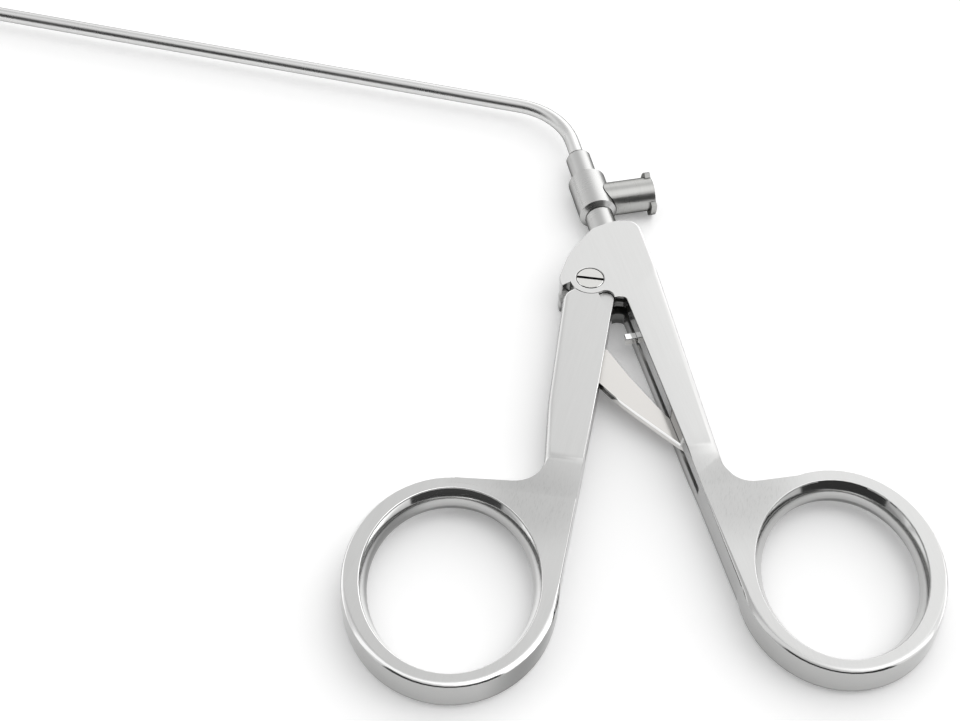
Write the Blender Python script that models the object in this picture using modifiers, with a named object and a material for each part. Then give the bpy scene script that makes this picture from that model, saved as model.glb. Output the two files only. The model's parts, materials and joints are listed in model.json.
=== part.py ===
# Sinus punch forceps: ring handles, head with screw pivot, flushing port,
# bent shaft and circular cutting punch. Metres, +Z up. The origin is on the
# pivot axis at the surface that the head and shanks lie on, the shaft runs
# along -X and the handles towards -Y.

import bpy
import bmesh
from math import sin, cos, tan, radians, pi, atan2, sqrt, hypot, degrees, ceil
from mathutils import Vector, Matrix

for old in list(bpy.data.objects):
    bpy.data.objects.remove(old, do_unlink=True)

# Fits
FIT = 0.00012                 # gap between close pieces
RUNNING_GAP = 0.00018         # gap between moving pieces
SWING_MARGIN = 1.0            # degrees kept free at the ends of a swing

# Head and handle plates
PLATE_THICKNESS = 0.0070
TANG_SLOT_HEIGHT = 0.0020     # slot between the two cheeks
CHEEK_RADIUS = 0.00362        # cheek boss round the pivot
LIP_THICKNESS = 0.0005        # top skin that laps over the moving handle
LAP_THICKNESS = 0.0006        # skin of the moving handle below that lip
NECK_ANGLE = 25.8             # neck axis, degrees from +Y towards -X
ROD_ARM = 0.00644             # pivot axis to rod axis
CLOSE_ANGLE = 18.0            # swing of the moving handle
SMALL_CHAMFER = 0.00018
GRIP_CHAMFER = 0.00095        # rounded outer edges of the shanks

# Head outline, in the frame of the neck: across, along
HEAD_LENGTH = 0.0131          # pivot to the face that the neck comes out of
HEAD_NOSE_WIDTH = 0.0122
HEAD_RIGHT = 0.0122           # pivot to the outer edge on the shank's side
HEAD_LEFT = 0.0051            # pivot to the outer edge on the open side

# Fixed shank, in the frame of the neck
FIXED_INNER_TOP = 0.0050
FIXED_OUTER_END = 0.0110
FIXED_FLARE_AT = 0.0486       # pivot to the shoulder over the ring
THROAT_DEPTH = 0.0059         # pivot to the top of the throat
FLARE_FILLET = 0.0050

# Fixed ring
FIXED_RING_ACROSS = 0.02376
FIXED_RING_ALONG = 0.0681
FIXED_RING_TILT = -14.3
FIXED_RING_BORE = (0.01383, 0.01749)

# Moving shank, in the frame of the part
MOVING_INNER_TOP = 0.00485
MOVING_INNER_MID = 0.00628
MOVING_OUTER_TOP = 0.0039
MOVING_OUTER_MID = 0.0012
MOVING_FLARE_X = 0.0016
MOVING_FLARE_Y = 0.0463
SHOULDER_Y = 0.0021
SHOULDER_FILLET = 0.0027
CORNER_FILLET = 0.0014

# Moving ring
MOVING_RING_X = -0.00842
MOVING_RING_Y = -0.0682
MOVING_RING_TILT = 11.5
MOVING_RING_BORE = (0.01443, 0.01790)

# Both rings
RING_THICKNESS = 0.0056
RING_RIM = (0.00245, 0.0020)  # face width at the sides and at the ends
RING_BULGE_IN = 0.00050
RING_BULGE_OUT = 0.00038
RING_EDGE = 0.00022
RING_SIDES = 64
SCOOP_LENGTH = 0.0088

# Pivot screw
SCREW_HEAD_DIAMETER = 0.00475
SCREW_HEAD_HEIGHT = 0.0011
SCREW_SHANK_DIAMETER = 0.0026
SCREW_SLOT_WIDTH = 0.00036
SCREW_SLOT_DEPTH = 0.0006
SCREW_SLOT_TURN = 5.9         # degrees, seen from above
SCREW_FLOOR = 0.0009          # metal left below the screw's blind bore

# Tang of the moving handle
TANG_RADIUS = 0.0039
TANG_ROOT = 0.0056            # pivot to the tang's end inside the moving shank
SOCKET_WALL = 0.00115
ROD_BALL_DIAMETER = 0.0017
SOCKET_PLAY = 0.00036         # side play that the straight rod needs

# Spring link and leaf spring
LINK_THICKNESS = 0.0013
LINK_PIVOT = (0.0033, -0.0172)
LINK_PIN_DIAMETER = 0.0014
LINK_EYE_RADIUS = 0.0019
LINK_LENGTH = 0.0244
LINK_ANGLE = -36.5
LINK_TIP_RADIUS = 0.0013
LINK_ROOT_UP = 0.0047
LINK_DROP = 0.0017            # belly of the link below its middle line
LINK_TIP_UP = 0.0024
LINK_SLOT_END = 0.0380
CHANNEL_DEPTH = 0.0046
CHANNEL_END = 0.0470
CHANNEL_RUNOUT = 0.0040       # end of the channel where its floor rises
LEAF_THICKNESS = 0.0004
LEAF_WIDTH = 0.0014
LEAF_START = 0.0116
LEAF_END_GAP = 0.0017         # leaf's lower end to the channel's run-out
STOP_NOSE_REACH = 0.0020      # stop's nose, out of the channel
STOP_NOSE_WIDTH = 0.0014
STOP_LENGTH = 0.0048          # stop's foot in the channel
LEAF_PIN_DIAMETER = 0.0010
BLIND_COVER = 0.0013          # metal left over the blind pins

# Neck, flushing body and side port, along the neck axis from the rod pivot
COLLAR_DIAMETER = 0.0052
COLLAR_LENGTH = 0.0048
NECK_SPIGOT_DIAMETER = 0.0044
NECK_SPIGOT_LENGTH = 0.0030
BODY_DIAMETER = 0.0069
BODY_LENGTH = 0.0098
BODY_CHAMFER = 0.00070
BODY_REAR_CONE = 0.0006       # length of the cone down to the collar
FERRULE_DIAMETER = 0.0046
FERRULE_LENGTH = 0.0062
FERRULE_SOCKET = 0.0048
CHAMBER_DIAMETER = 0.0036
SEAL_LENGTH = 0.0014
GLAND_LENGTH = 0.0016
PORT_AT = 0.0040              # side port, from the body's rear face
PORT_DIAMETER = 0.0062
PORT_REACH = 0.0110           # neck axis to the port's mouth
PORT_TAPER_DEPTH = 0.0062
PORT_MOUTH = 0.0043
PORT_DRILLING = 0.0016
LUG_DIAMETER = 0.0079
LUG_THICKNESS = 0.0010
LUG_TURN = 24.0
LUG_SPAN = 84.0

# Shaft
TUBE_DIAMETER = 0.00265
TUBE_BORE = 0.0019
BEND_RADIUS = 0.0130
SHAFT_LINE_Y = 0.0445         # the straight shaft's distance from the pivot
WORKING_LENGTH = 0.1720       # bend to the end of the tube
ROD_DIAMETER = 0.0011
FRONT_ROD_DIAMETER = 0.0014
CABLE_DIAMETER = 0.0010
CRIMP_DIAMETER = 0.0016
CRIMP_LENGTH = 0.0030

# Punch
PUNCH_DIAMETER = 0.0035
SLEEVE_LENGTH = 0.0078
SLEEVE_PIN_DIAMETER = 0.0008
SLEEVE_OVERHANG = 0.0016      # sleeve past the tube's end
ANVIL_PLUG_LENGTH = 0.0035
ANVIL_STEM_DIAMETER = 0.0010
ANVIL_DOME = 0.0009
ANVIL_RIM = 0.0005
CUT_GAP = 0.00012             # gap left when the punch is closed

# Worked out from the sizes above
MID_Z = PLATE_THICKNESS / 2
NECK_TURN = radians(NECK_ANGLE)
STROKE = ROD_ARM * sin(radians(CLOSE_ANGLE))
TANG_THICKNESS = TANG_SLOT_HEIGHT - 2 * FIT
SOCKET_RADIUS = ROD_BALL_DIAMETER / 2 + SOCKET_PLAY
ACROSS = Vector((cos(NECK_TURN), sin(NECK_TURN), 0.0))
ALONG = Vector((-sin(NECK_TURN), cos(NECK_TURN), 0.0))
ROD_FOOT = ACROSS * ROD_ARM + Vector((0, 0, MID_Z))
BODY_START = HEAD_LENGTH + COLLAR_LENGTH
BODY_END = BODY_START + BODY_LENGTH
BEND_ANGLE = pi / 2 - NECK_TURN
BEND_TANGENT = BEND_RADIUS * tan(BEND_ANGLE / 2)
CORNER_ALONG = (SHAFT_LINE_Y - ROD_FOOT.y) / ALONG.y
CORNER = ROD_FOOT + ALONG * CORNER_ALONG
BEND_START = CORNER_ALONG - BEND_TANGENT
BEND_CENTRE = ROD_FOOT + ALONG * BEND_START - ACROSS * BEND_RADIUS
SHAFT_START = CORNER + Vector((-BEND_TANGENT, 0, 0))
TUBE_END_X = SHAFT_START.x - WORKING_LENGTH

parts = bpy.data.collections.new("sinus_punch_forceps")
tools = bpy.data.collections.new("construction")
bpy.context.scene.collection.children.link(parts)
bpy.context.scene.collection.children.link(tools)


def steel(name, colour, roughness):
    material = bpy.data.materials.new(name)
    material.use_nodes = True
    shader = material.node_tree.nodes["Principled BSDF"]
    shader.inputs["Base Color"].default_value = (*colour, 1.0)
    shader.inputs["Metallic"].default_value = 1.0
    shader.inputs["Roughness"].default_value = roughness
    return material


def rubber(name, colour):
    material = steel(name, colour, 0.6)
    material.node_tree.nodes["Principled BSDF"].inputs["Metallic"].default_value = 0.0
    return material


def add_object(name, mesh, material=None):
    """Put a mesh in the part, or among the construction pieces if it has no material."""
    item = bpy.data.objects.new(name, mesh)
    if material is None:
        tools.objects.link(item)
        item.hide_render = True
        item.display_type = "WIRE"
    else:
        parts.objects.link(item)
        mesh.materials.append(material)
    return item


def turn_and_place(item, angle=0.0, location=(0, 0, 0)):
    item.rotation_euler = (0, 0, angle)
    item.location = location
    return item


def combine(target, tool, operation="DIFFERENCE"):
    step = target.modifiers.new(tool.name, "BOOLEAN")
    step.object = tool
    step.operation = operation
    step.solver = "EXACT"
    return target


def arc_points(centre, radius, start, end, count):
    """Points on an arc, angles in radians, both ends included."""
    return [(centre[0] + radius * cos(start + (end - start) * i / count),
             centre[1] + radius * sin(start + (end - start) * i / count))
            for i in range(count + 1)]


def rounded_outline(corners, step=radians(10)):
    """Outline through corners (x, y, fillet, edge width of the side that follows)."""
    points, widths = [], []
    for i, (x, y, fillet, width) in enumerate(corners):
        before = Vector(corners[i - 1][:2])
        after = Vector(corners[(i + 1) % len(corners)][:2])
        here = Vector((x, y))
        last_width = corners[i - 1][3]
        if fillet <= 0:
            points.append(here)
            widths.append(width)
            continue
        to_before = (before - here).normalized()
        to_after = (after - here).normalized()
        half = to_before.angle(to_after) / 2
        reach = min(fillet / tan(half), 0.49 * (before - here).length,
                    0.49 * (after - here).length)
        fillet = reach * tan(half)
        centre = here + (to_before + to_after).normalized() * (fillet / sin(half))
        first = here + to_before * reach - centre
        sweep = pi - 2 * half
        if first.x * to_before.y - first.y * to_before.x > 0:
            sweep = -sweep
        count = max(2, ceil(abs(sweep) / step))
        start = atan2(first.y, first.x)
        for k, point in enumerate(arc_points(centre, fillet, start, start + sweep, count)):
            points.append(Vector(point))
            share = (k + 0.5) / count
            widths.append(width if k == count else last_width + (width - last_width) * share)
    return points, widths


def plate(name, outline, low, high, material=None, widths=None, segments=2):
    """Flat piece from an outline, its long edges rounded by the given widths."""
    bm = bmesh.new()
    rounding = bm.edges.layers.float.new("bevel_weight_edge")
    bottom = [bm.verts.new((p[0], p[1], low)) for p in outline]
    top = [bm.verts.new((p[0], p[1], high)) for p in outline]
    bm.faces.new(bottom)
    bm.faces.new(top)
    for i in range(len(outline)):
        k = (i + 1) % len(outline)
        bm.faces.new((bottom[i], bottom[k], top[k], top[i]))
    bmesh.ops.recalc_face_normals(bm, faces=bm.faces)
    if widths:
        widest = max(widths)
        for i in range(len(outline)):
            k = (i + 1) % len(outline)
            for ring in (bottom, top):
                bm.edges.get((ring[i], ring[k]))[rounding] = widths[i] / widest
    mesh = bpy.data.meshes.new(name)
    bm.to_mesh(mesh)
    bm.free()
    item = add_object(name, mesh, material)
    if widths:
        edge = item.modifiers.new("edges", "BEVEL")
        edge.limit_method = "WEIGHT"
        edge.width = max(widths)
        edge.segments = segments
        edge.use_clamp_overlap = False
    return item


def cylinder(name, start, end, diameter, material=None, sides=32):
    """Cylinder between two points."""
    start, end = Vector(start), Vector(end)
    bm = bmesh.new()
    bmesh.ops.create_cone(bm, cap_ends=True, segments=sides, radius1=diameter / 2,
                          radius2=diameter / 2, depth=(end - start).length)
    mesh = bpy.data.meshes.new(name)
    bm.to_mesh(mesh)
    bm.free()
    item = add_object(name, mesh, material)
    item.location = (start + end) / 2
    item.rotation_mode = "QUATERNION"
    item.rotation_quaternion = (end - start).to_track_quat("Z", "Y")
    shade(item)
    return item


def shade(item, angle=35):
    item.data.shade_smooth()
    item.data.set_sharp_from_angle(angle=radians(angle))


def turned(name, profile, origin, direction, material=None, steps=40, closed=False):
    """Turned piece: profile of (radius, height) from top to bottom down its outside."""
    mesh = bpy.data.meshes.new(name)
    points = [(radius, 0, height) for radius, height in profile]
    edges = [(i, i + 1) for i in range(len(points) - 1)]
    if closed:
        edges.append((len(points) - 1, 0))
    mesh.from_pydata(points, edges, [])
    item = add_object(name, mesh, material)
    item.location = origin
    item.rotation_mode = "QUATERNION"
    item.rotation_quaternion = Vector(direction).to_track_quat("Z", "Y")
    screw = item.modifiers.new("turn", "SCREW")
    screw.steps = steps
    screw.render_steps = steps
    screw.use_merge_vertices = True
    screw.merge_threshold = 0.000001
    screw.use_smooth_shade = True
    return item


def pipe(name, points, diameter, material=None, sides=16):
    """Round bar along a line of points, as a closed mesh."""
    curve = bpy.data.curves.new(name + "_line", "CURVE")
    curve.dimensions = "3D"
    curve.bevel_depth = diameter / 2
    curve.bevel_resolution = sides // 2 - 2
    curve.use_fill_caps = True
    line = curve.splines.new("POLY")
    line.points.add(len(points) - 1)
    for spot, point in zip(line.points, points):
        spot.co = (*point, 1.0)
    source = bpy.data.objects.new(name + "_line", curve)
    tools.objects.link(source)
    depsgraph = bpy.context.evaluated_depsgraph_get()
    mesh = bpy.data.meshes.new_from_object(source.evaluated_get(depsgraph))
    bpy.data.objects.remove(source, do_unlink=True)
    bm = bmesh.new()
    bm.from_mesh(mesh)
    bmesh.ops.remove_doubles(bm, verts=bm.verts, dist=0.000002)
    bmesh.ops.recalc_face_normals(bm, faces=bm.faces)
    bm.to_mesh(mesh)
    bm.free()
    mesh.name = name
    mesh.materials.clear()
    item = add_object(name, mesh, material)
    shade(item)
    return item


def ring_outline(centre, semi, tilt):
    """Ellipse with its second semi-axis along the shank, turned by tilt in degrees."""
    turn = radians(tilt)
    points = []
    for i in range(RING_SIDES):
        angle = 2 * pi * i / RING_SIDES
        across, along = semi[0] * cos(angle), semi[1] * sin(angle)
        points.append((centre[0] + across * cos(turn) - along * sin(turn),
                       centre[1] + across * sin(turn) + along * cos(turn)))
    return points


def ring_section():
    """Section of a ring: (share of the face, offset, height)."""
    half = RING_THICKNESS / 2
    wall = []
    for k in range(4):
        rise = cos(pi * (k + 0.5) / 4)
        height = rise * (half - RING_EDGE)
        wall.append((height, (1 - rise * rise) ** 0.5))
    section = [(0.0, 0.0, half)]
    section += [(0.0, -RING_EDGE - (RING_BULGE_IN - RING_EDGE) * s, h) for h, s in wall]
    section += [(0.0, 0.0, -half), (1.0, 0.0, -half)]
    section += [(1.0, RING_EDGE + (RING_BULGE_OUT - RING_EDGE) * s, -h) for h, s in wall]
    section += [(1.0, 0.0, half)]
    return section


def finger_ring(name, centre, bore, tilt):
    """Ring loft: the face is wider at the sides than at the ends, the walls bulge."""
    face = (bore[0] + RING_RIM[0], bore[1] + RING_RIM[1])
    inner = ring_outline(centre, bore, tilt)
    outer = ring_outline(centre, face, tilt)
    section = ring_section()
    bm = bmesh.new()
    rows = []
    for a, b in zip(inner, outer):
        start, end = Vector(a), Vector(b)
        way = (end - start).normalized()
        row = []
        for share, offset, height in section:
            spot = start.lerp(end, share) + way * offset
            row.append(bm.verts.new((spot.x, spot.y, MID_Z + height)))
        rows.append(row)
    for i, row in enumerate(rows):
        following = rows[(i + 1) % RING_SIDES]
        for k in range(len(row)):
            n = (k + 1) % len(row)
            bm.faces.new((row[k], following[k], following[n], row[n]))
    bmesh.ops.recalc_face_normals(bm, faces=bm.faces)
    mesh = bpy.data.meshes.new(name)
    bm.to_mesh(mesh)
    bm.free()
    return add_object(name, mesh)


def ring_core(name, centre, bore, tilt):
    """The space inside the middle line of a ring's face."""
    middle = (bore[0] + RING_RIM[0] / 2, bore[1] + RING_RIM[1] / 2)
    return plate(name, ring_outline(centre, middle, tilt), -0.002, PLATE_THICKNESS + 0.002)


def scoop(name, flare, angle, upper):
    """Cutter that eases the shank's face down to the ring's face in a long S."""
    drop = (PLATE_THICKNESS - RING_THICKNESS) / 2
    steps = 12
    rise = PLATE_THICKNESS + 0.002
    face = PLATE_THICKNESS - drop
    profile = []
    for i in range(-1, steps + 1):
        share = i / steps
        eased = 0.15 * share + 0.85 * share * abs(share) * (3 - 2 * share)
        profile.append((-flare + SCOOP_LENGTH * (1 - share), PLATE_THICKNESS - drop * eased))
    profile += [(-flare - 0.050, face), (-flare - 0.050, rise), (profile[0][0], rise)]
    if not upper:
        profile = [(along, PLATE_THICKNESS - z) for along, z in profile]
    bm = bmesh.new()
    left = [bm.verts.new((-0.035, along, z)) for along, z in profile]
    right = [bm.verts.new((0.060, along, z)) for along, z in profile]
    bm.faces.new(left)
    bm.faces.new(right)
    for i in range(len(profile)):
        k = (i + 1) % len(profile)
        bm.faces.new((left[i], left[k], right[k], right[i]))
    bmesh.ops.recalc_face_normals(bm, faces=bm.faces)
    mesh = bpy.data.meshes.new(name)
    bm.to_mesh(mesh)
    bm.free()
    return turn_and_place(add_object(name, mesh), angle)


def polar(radius, angle):
    """Point round the pivot, angle in degrees in the frame of the part."""
    return (radius * cos(radians(angle)), radius * sin(radians(angle)))


def to_neck(point):
    """Frame of the part to the frame of the neck."""
    x, y = point
    return (x * cos(NECK_TURN) + y * sin(NECK_TURN), -x * sin(NECK_TURN) + y * cos(NECK_TURN))


def touching_spot(ring, point, side):
    """Spot of a ring where a straight edge from the point touches it, side 1 left, -1 right."""
    return max(ring, key=lambda p: side * (point[0] - p[0]) / (point[1] - p[1]))


def moving_outline():
    """Outline of the moving shank, from its shoulder to the ring."""
    top_slope = 0.0011
    centre = (MOVING_RING_X, MOVING_RING_Y)
    rim = (MOVING_RING_BORE[0] + RING_RIM[0], MOVING_RING_BORE[1] + RING_RIM[1])
    ring = ring_outline(centre, rim, MOVING_RING_TILT)
    crown = ring[RING_SIDES // 4]
    middle = ring_outline(centre, (rim[0] - RING_RIM[0] * 0.4, rim[1] - RING_RIM[1] * 0.4),
                          MOVING_RING_TILT)
    corners = [
        (-MOVING_OUTER_TOP, -SHOULDER_Y - top_slope, SHOULDER_FILLET, GRIP_CHAMFER),
        (-MOVING_OUTER_MID, -0.0294, 0.060, GRIP_CHAMFER),
        (MOVING_FLARE_X, -MOVING_FLARE_Y, FLARE_FILLET, GRIP_CHAMFER * 0.6),
        (*crown, 0, SMALL_CHAMFER),
        (*middle[RING_SIDES * 5 // 18], 0, SMALL_CHAMFER),
        (*centre, 0, SMALL_CHAMFER),
        (*middle[0], 0, SMALL_CHAMFER),
        (*touching_spot(ring, (MOVING_INNER_MID, -0.0240), -1), 0, SMALL_CHAMFER),
        (MOVING_INNER_MID, -0.0240, 0.120, SMALL_CHAMFER),
        (MOVING_INNER_TOP, -SHOULDER_Y, CORNER_FILLET, SMALL_CHAMFER),
    ]
    return rounded_outline(corners)


def nest_line():
    """The moving handle's inner corner, as it lies under the head's lip."""
    points, _ = moving_outline()
    return [p for p in points if p[0] > 0 and p[1] > -0.0036]


def fixed_inner_end():
    """Where the fixed shank's inner edge runs out on its ring, in the frame of the neck."""
    rim = (FIXED_RING_BORE[0] + RING_RIM[0], FIXED_RING_BORE[1] + RING_RIM[1])
    ring = ring_outline((FIXED_RING_ACROSS, -FIXED_RING_ALONG), rim, FIXED_RING_TILT)
    return touching_spot(ring, (FIXED_INNER_TOP, -THROAT_DEPTH), 1)


def fixed_outline():
    """Outline of the head and fixed shank, in the frame of the neck."""
    centre = (FIXED_RING_ACROSS, -FIXED_RING_ALONG)
    rim = (FIXED_RING_BORE[0] + RING_RIM[0], FIXED_RING_BORE[1] + RING_RIM[1])
    ring = ring_outline(centre, rim, FIXED_RING_TILT)
    crown = ring[RING_SIDES // 4]
    middle = ring_outline(centre, (rim[0] - RING_RIM[0] * 0.4, rim[1] - RING_RIM[1] * 0.4),
                          FIXED_RING_TILT)
    left = ROD_ARM - HEAD_NOSE_WIDTH / 2 + 0.0030
    edge = SMALL_CHAMFER
    corners = [
        (FIXED_INNER_TOP - 0.0014, -THROAT_DEPTH + 0.0007, 0, edge),
        (FIXED_INNER_TOP, -THROAT_DEPTH + 0.0003, 0.0008, edge),
        (*fixed_inner_end(), 0, edge),
        (*middle[RING_SIDES // 2], 0, edge),
        (*centre, 0, edge),
        (*middle[RING_SIDES * 2 // 9], 0, edge),
        (*crown, 0, edge),
        (FIXED_OUTER_END, -FIXED_FLARE_AT, FLARE_FILLET, GRIP_CHAMFER),
        (HEAD_RIGHT, 0.0, 0.060, GRIP_CHAMFER * 0.6),
        (HEAD_RIGHT - 0.0002, HEAD_LENGTH - 0.0008, 0.0034, edge),
        (ROD_ARM + 0.0012, HEAD_LENGTH, 0.0060, edge),
        (left, HEAD_LENGTH - 0.0012, 0.0030, edge),
        (-HEAD_LEFT * 0.42, 0.0068, 0.0120, edge),
        (-HEAD_LEFT - 0.0003, 0.0012, 0.0040, edge),
        (*to_neck((-0.00452, -0.0031)), 0.0003, edge),
        (*to_neck((-0.00372, -0.00225)), 0.0006, edge * 0.4),
        (*to_neck(polar(CHEEK_RADIUS, 207)), 0, edge * 0.4),
    ]
    return corners


def head_outline():
    """The fixed outline closed round the pivot by the cheek's boss and the nest."""
    boss = [to_neck(polar(CHEEK_RADIUS, angle)) for angle in range(212, 326, 6)]
    nest = [to_neck(p) for p in reversed(nest_line()) if hypot(*p) > CHEEK_RADIUS + 2 * FIT]
    shift = FIT
    nest = [(a + shift * 0.7, b + shift * 0.7) for a, b in nest]
    points, widths = rounded_outline(fixed_outline())
    edge = SMALL_CHAMFER * 0.4
    outline = points + [Vector(p) for p in boss] + [Vector(p) for p in nest]
    return outline, widths + [edge] * (len(boss) + len(nest))


def fixed_handle(material):
    """Head with two cheeks, the rear shank and its finger ring."""
    outline, widths = head_outline()
    body = plate("fixed_handle", outline, 0.0, PLATE_THICKNESS, material, widths)
    turn_and_place(body, NECK_TURN)
    for upper in (True, False):
        combine(body, scoop("fixed_scoop", FIXED_FLARE_AT, NECK_TURN, upper))
    centre = (FIXED_RING_ACROSS, -FIXED_RING_ALONG)
    core = ring_core("fixed_ring_core", centre, FIXED_RING_BORE, FIXED_RING_TILT)
    combine(body, turn_and_place(core, NECK_TURN))
    ring = finger_ring("fixed_ring", centre, FIXED_RING_BORE, FIXED_RING_TILT)
    combine(body, turn_and_place(ring, NECK_TURN), "UNION")
    combine(body, tang_slot())
    combine(body, swing_pocket())
    combine(body, link_channel())
    combine(body, cylinder("neck_bore", ROD_FOOT, ROD_FOOT + ALONG * (HEAD_LENGTH + 0.002),
                           ROD_DIAMETER + 4 * RUNNING_GAP, sides=24))
    spigot = cylinder("spigot_bore", ROD_FOOT + ALONG * (HEAD_LENGTH - NECK_SPIGOT_LENGTH - FIT),
                      ROD_FOOT + ALONG * (HEAD_LENGTH + 0.002), NECK_SPIGOT_DIAMETER + 2 * FIT)
    combine(body, spigot)
    top = PLATE_THICKNESS + 0.001
    combine(body, cylinder("screw_counterbore",
                           (0, 0, PLATE_THICKNESS - SCREW_HEAD_HEIGHT - FIT), (0, 0, top),
                           SCREW_HEAD_DIAMETER + 2 * FIT, sides=48))
    combine(body, cylinder("screw_bore", (0, 0, SCREW_FLOOR), (0, 0, top),
                           SCREW_SHANK_DIAMETER + 2 * FIT))
    combine(body, leaf_pin_bore())
    shade(body)
    return body


def tang_slot():
    """Slot between the cheeks, round the pivot, open to the throat and to the left."""
    reach = ROD_ARM + SOCKET_RADIUS + SOCKET_WALL + 2 * RUNNING_GAP
    height = TANG_SLOT_HEIGHT / 2
    return cylinder("tang_slot", (0, 0, MID_Z - height), (0, 0, MID_Z + height),
                    2 * reach, sides=56)


def corner_angles():
    """Angles round the pivot that the moving handle's corner takes up, in degrees."""
    return [degrees(atan2(p[1], p[0])) for p in nest_line() if hypot(*p) > CHEEK_RADIUS + FIT]


def sector(name, inner, outer, start, end, low, high):
    """Part of a flat ring round the pivot, angles in degrees in the frame of the part."""
    count = 10
    far = arc_points((0, 0), outer, radians(start), radians(end), count)
    near = arc_points((0, 0), inner, radians(end), radians(start), count)
    return plate(name, far + near, low, high)


def lap_reach():
    """Radius that the lap between the handles covers round the pivot."""
    return hypot(FIXED_INNER_TOP, THROAT_DEPTH) + 0.0006


def swing_pocket():
    """Room below the head's lip for the skin of the moving handle when it closes."""
    lap = PLATE_THICKNESS - LIP_THICKNESS
    return sector("swing_pocket", CHEEK_RADIUS, lap_reach(), -60,
                  max(corner_angles()) + CLOSE_ANGLE + SWING_MARGIN, lap - LAP_THICKNESS - 2 * FIT, lap)


def lap_cut(name, low, high):
    """The moving handle's corner is only a skin where it passes below the head's lip."""
    return sector(name, CHEEK_RADIUS - FIT, lap_reach() + FIT,
                  min(corner_angles()) - CLOSE_ANGLE - 3 * SWING_MARGIN, 10, low, high)


def inner_edge(along):
    """Inner edge of the fixed shank at a distance along it, in the frame of the neck."""
    end = fixed_inner_end()
    share = (along - THROAT_DEPTH) / (-end[1] - THROAT_DEPTH)
    return FIXED_INNER_TOP + (end[0] - FIXED_INNER_TOP) * share


def link_channel():
    """Channel along the inner side of the fixed shank that takes link and leaf spring."""
    height = LINK_THICKNESS / 2 + RUNNING_GAP
    first, last = THROAT_DEPTH - 0.001, CHANNEL_END
    outline = [(inner_edge(first) - 0.004, -first), (inner_edge(last) - 0.004, -last),
               (inner_edge(last), -last)]
    turn = (inner_edge(last) + CHANNEL_DEPTH * 0.3, -last + CHANNEL_RUNOUT * 0.4)
    low = last - CHANNEL_RUNOUT
    outline += [turn, (inner_edge(low) + CHANNEL_DEPTH, -low),
                (inner_edge(first) + CHANNEL_DEPTH, -first)]
    tool = plate("link_channel", outline, MID_Z - height, MID_Z + height)
    return turn_and_place(tool, NECK_TURN)


def leaf_pin_spot():
    along = LEAF_START + STOP_LENGTH * 0.62
    across = inner_edge(along) + (CHANNEL_DEPTH - LEAF_THICKNESS) / 2
    return Matrix.Rotation(NECK_TURN, 3, "Z") @ Vector((across, -along, 0))


def leaf_pin_bore():
    spot = leaf_pin_spot()
    return cylinder("leaf_pin_bore", spot + Vector((0, 0, -0.001)),
                    spot + Vector((0, 0, PLATE_THICKNESS - BLIND_COVER)),
                    LEAF_PIN_DIAMETER + 2 * FIT, sides=20)


def tang(name):
    """Flat tang round the pivot, rooted in the shank, with the lobe that holds the rod's ball."""
    half = TANG_THICKNESS / 2
    lobe = SOCKET_RADIUS + SOCKET_WALL
    disc = arc_points((0, 0), TANG_RADIUS, radians(40), radians(190), 16)
    root = [to_neck(spot) for spot in ((-TANG_RADIUS * 0.8, -TANG_ROOT),
                                       (MOVING_INNER_TOP - 0.0006, -TANG_ROOT),
                                       (MOVING_INNER_TOP - 0.0006, -SHOULDER_Y))]
    end = arc_points((ROD_ARM, 0), lobe, radians(-80), radians(80), 12)
    item = plate(name, disc + root + end, MID_Z - half, MID_Z + half)
    return turn_and_place(item, NECK_TURN)


def rod_socket():
    """Keyhole in the tang: round seat and a flared way out for the rod."""
    half = ROD_DIAMETER / 2 + 2 * RUNNING_GAP
    swing = radians(CLOSE_ANGLE)
    far = SOCKET_RADIUS + SOCKET_WALL + 0.001
    seat = arc_points((ROD_ARM, 0), SOCKET_RADIUS, radians(125), radians(380), 22)
    mouth = [(ROD_ARM + half + far * tan(swing) + 2 * SOCKET_PLAY, far),
             (ROD_ARM - half, far)]
    item = plate("rod_socket", seat + mouth, MID_Z - TANG_SLOT_HEIGHT, MID_Z + TANG_SLOT_HEIGHT)
    return turn_and_place(item, NECK_TURN)


def moving_handle(material):
    """Front shank with its finger ring, tang and the slot for the spring link."""
    outline, widths = moving_outline()
    body = plate("moving_handle", outline, 0.0, PLATE_THICKNESS, material, widths)
    combine(body, cylinder("boss_clearance", (0, 0, -0.001), (0, 0, PLATE_THICKNESS + 0.001),
                           2 * (CHEEK_RADIUS + FIT), sides=72))
    flare = -MOVING_RING_Y - MOVING_RING_BORE[1] - RING_RIM[1] + 0.0004
    for upper in (True, False):
        combine(body, scoop("moving_scoop", flare, radians(MOVING_RING_TILT / 2), upper))
    centre = (MOVING_RING_X, MOVING_RING_Y)
    combine(body, ring_core("moving_ring_core", centre, MOVING_RING_BORE, MOVING_RING_TILT))
    combine(body, finger_ring("moving_ring", centre, MOVING_RING_BORE, MOVING_RING_TILT),
            "UNION")
    lap = PLATE_THICKNESS - LIP_THICKNESS - FIT
    combine(body, lap_cut("lap_top", lap, PLATE_THICKNESS + 0.001))
    combine(body, lap_cut("lap_relief", -0.001, lap - LAP_THICKNESS))
    combine(body, tang("moving_tang"), "UNION")
    combine(body, rod_socket())
    combine(body, cylinder("pivot_bore", (0, 0, 0), (0, 0, PLATE_THICKNESS),
                           SCREW_SHANK_DIAMETER + 2 * RUNNING_GAP))
    combine(body, link_slot())
    x, y = LINK_PIVOT
    combine(body, cylinder("link_pin_bore", (x, y, -0.001), (x, y, PLATE_THICKNESS - BLIND_COVER),
                           LINK_PIN_DIAMETER + 2 * FIT, sides=20))
    shade(body)
    return body


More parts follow.
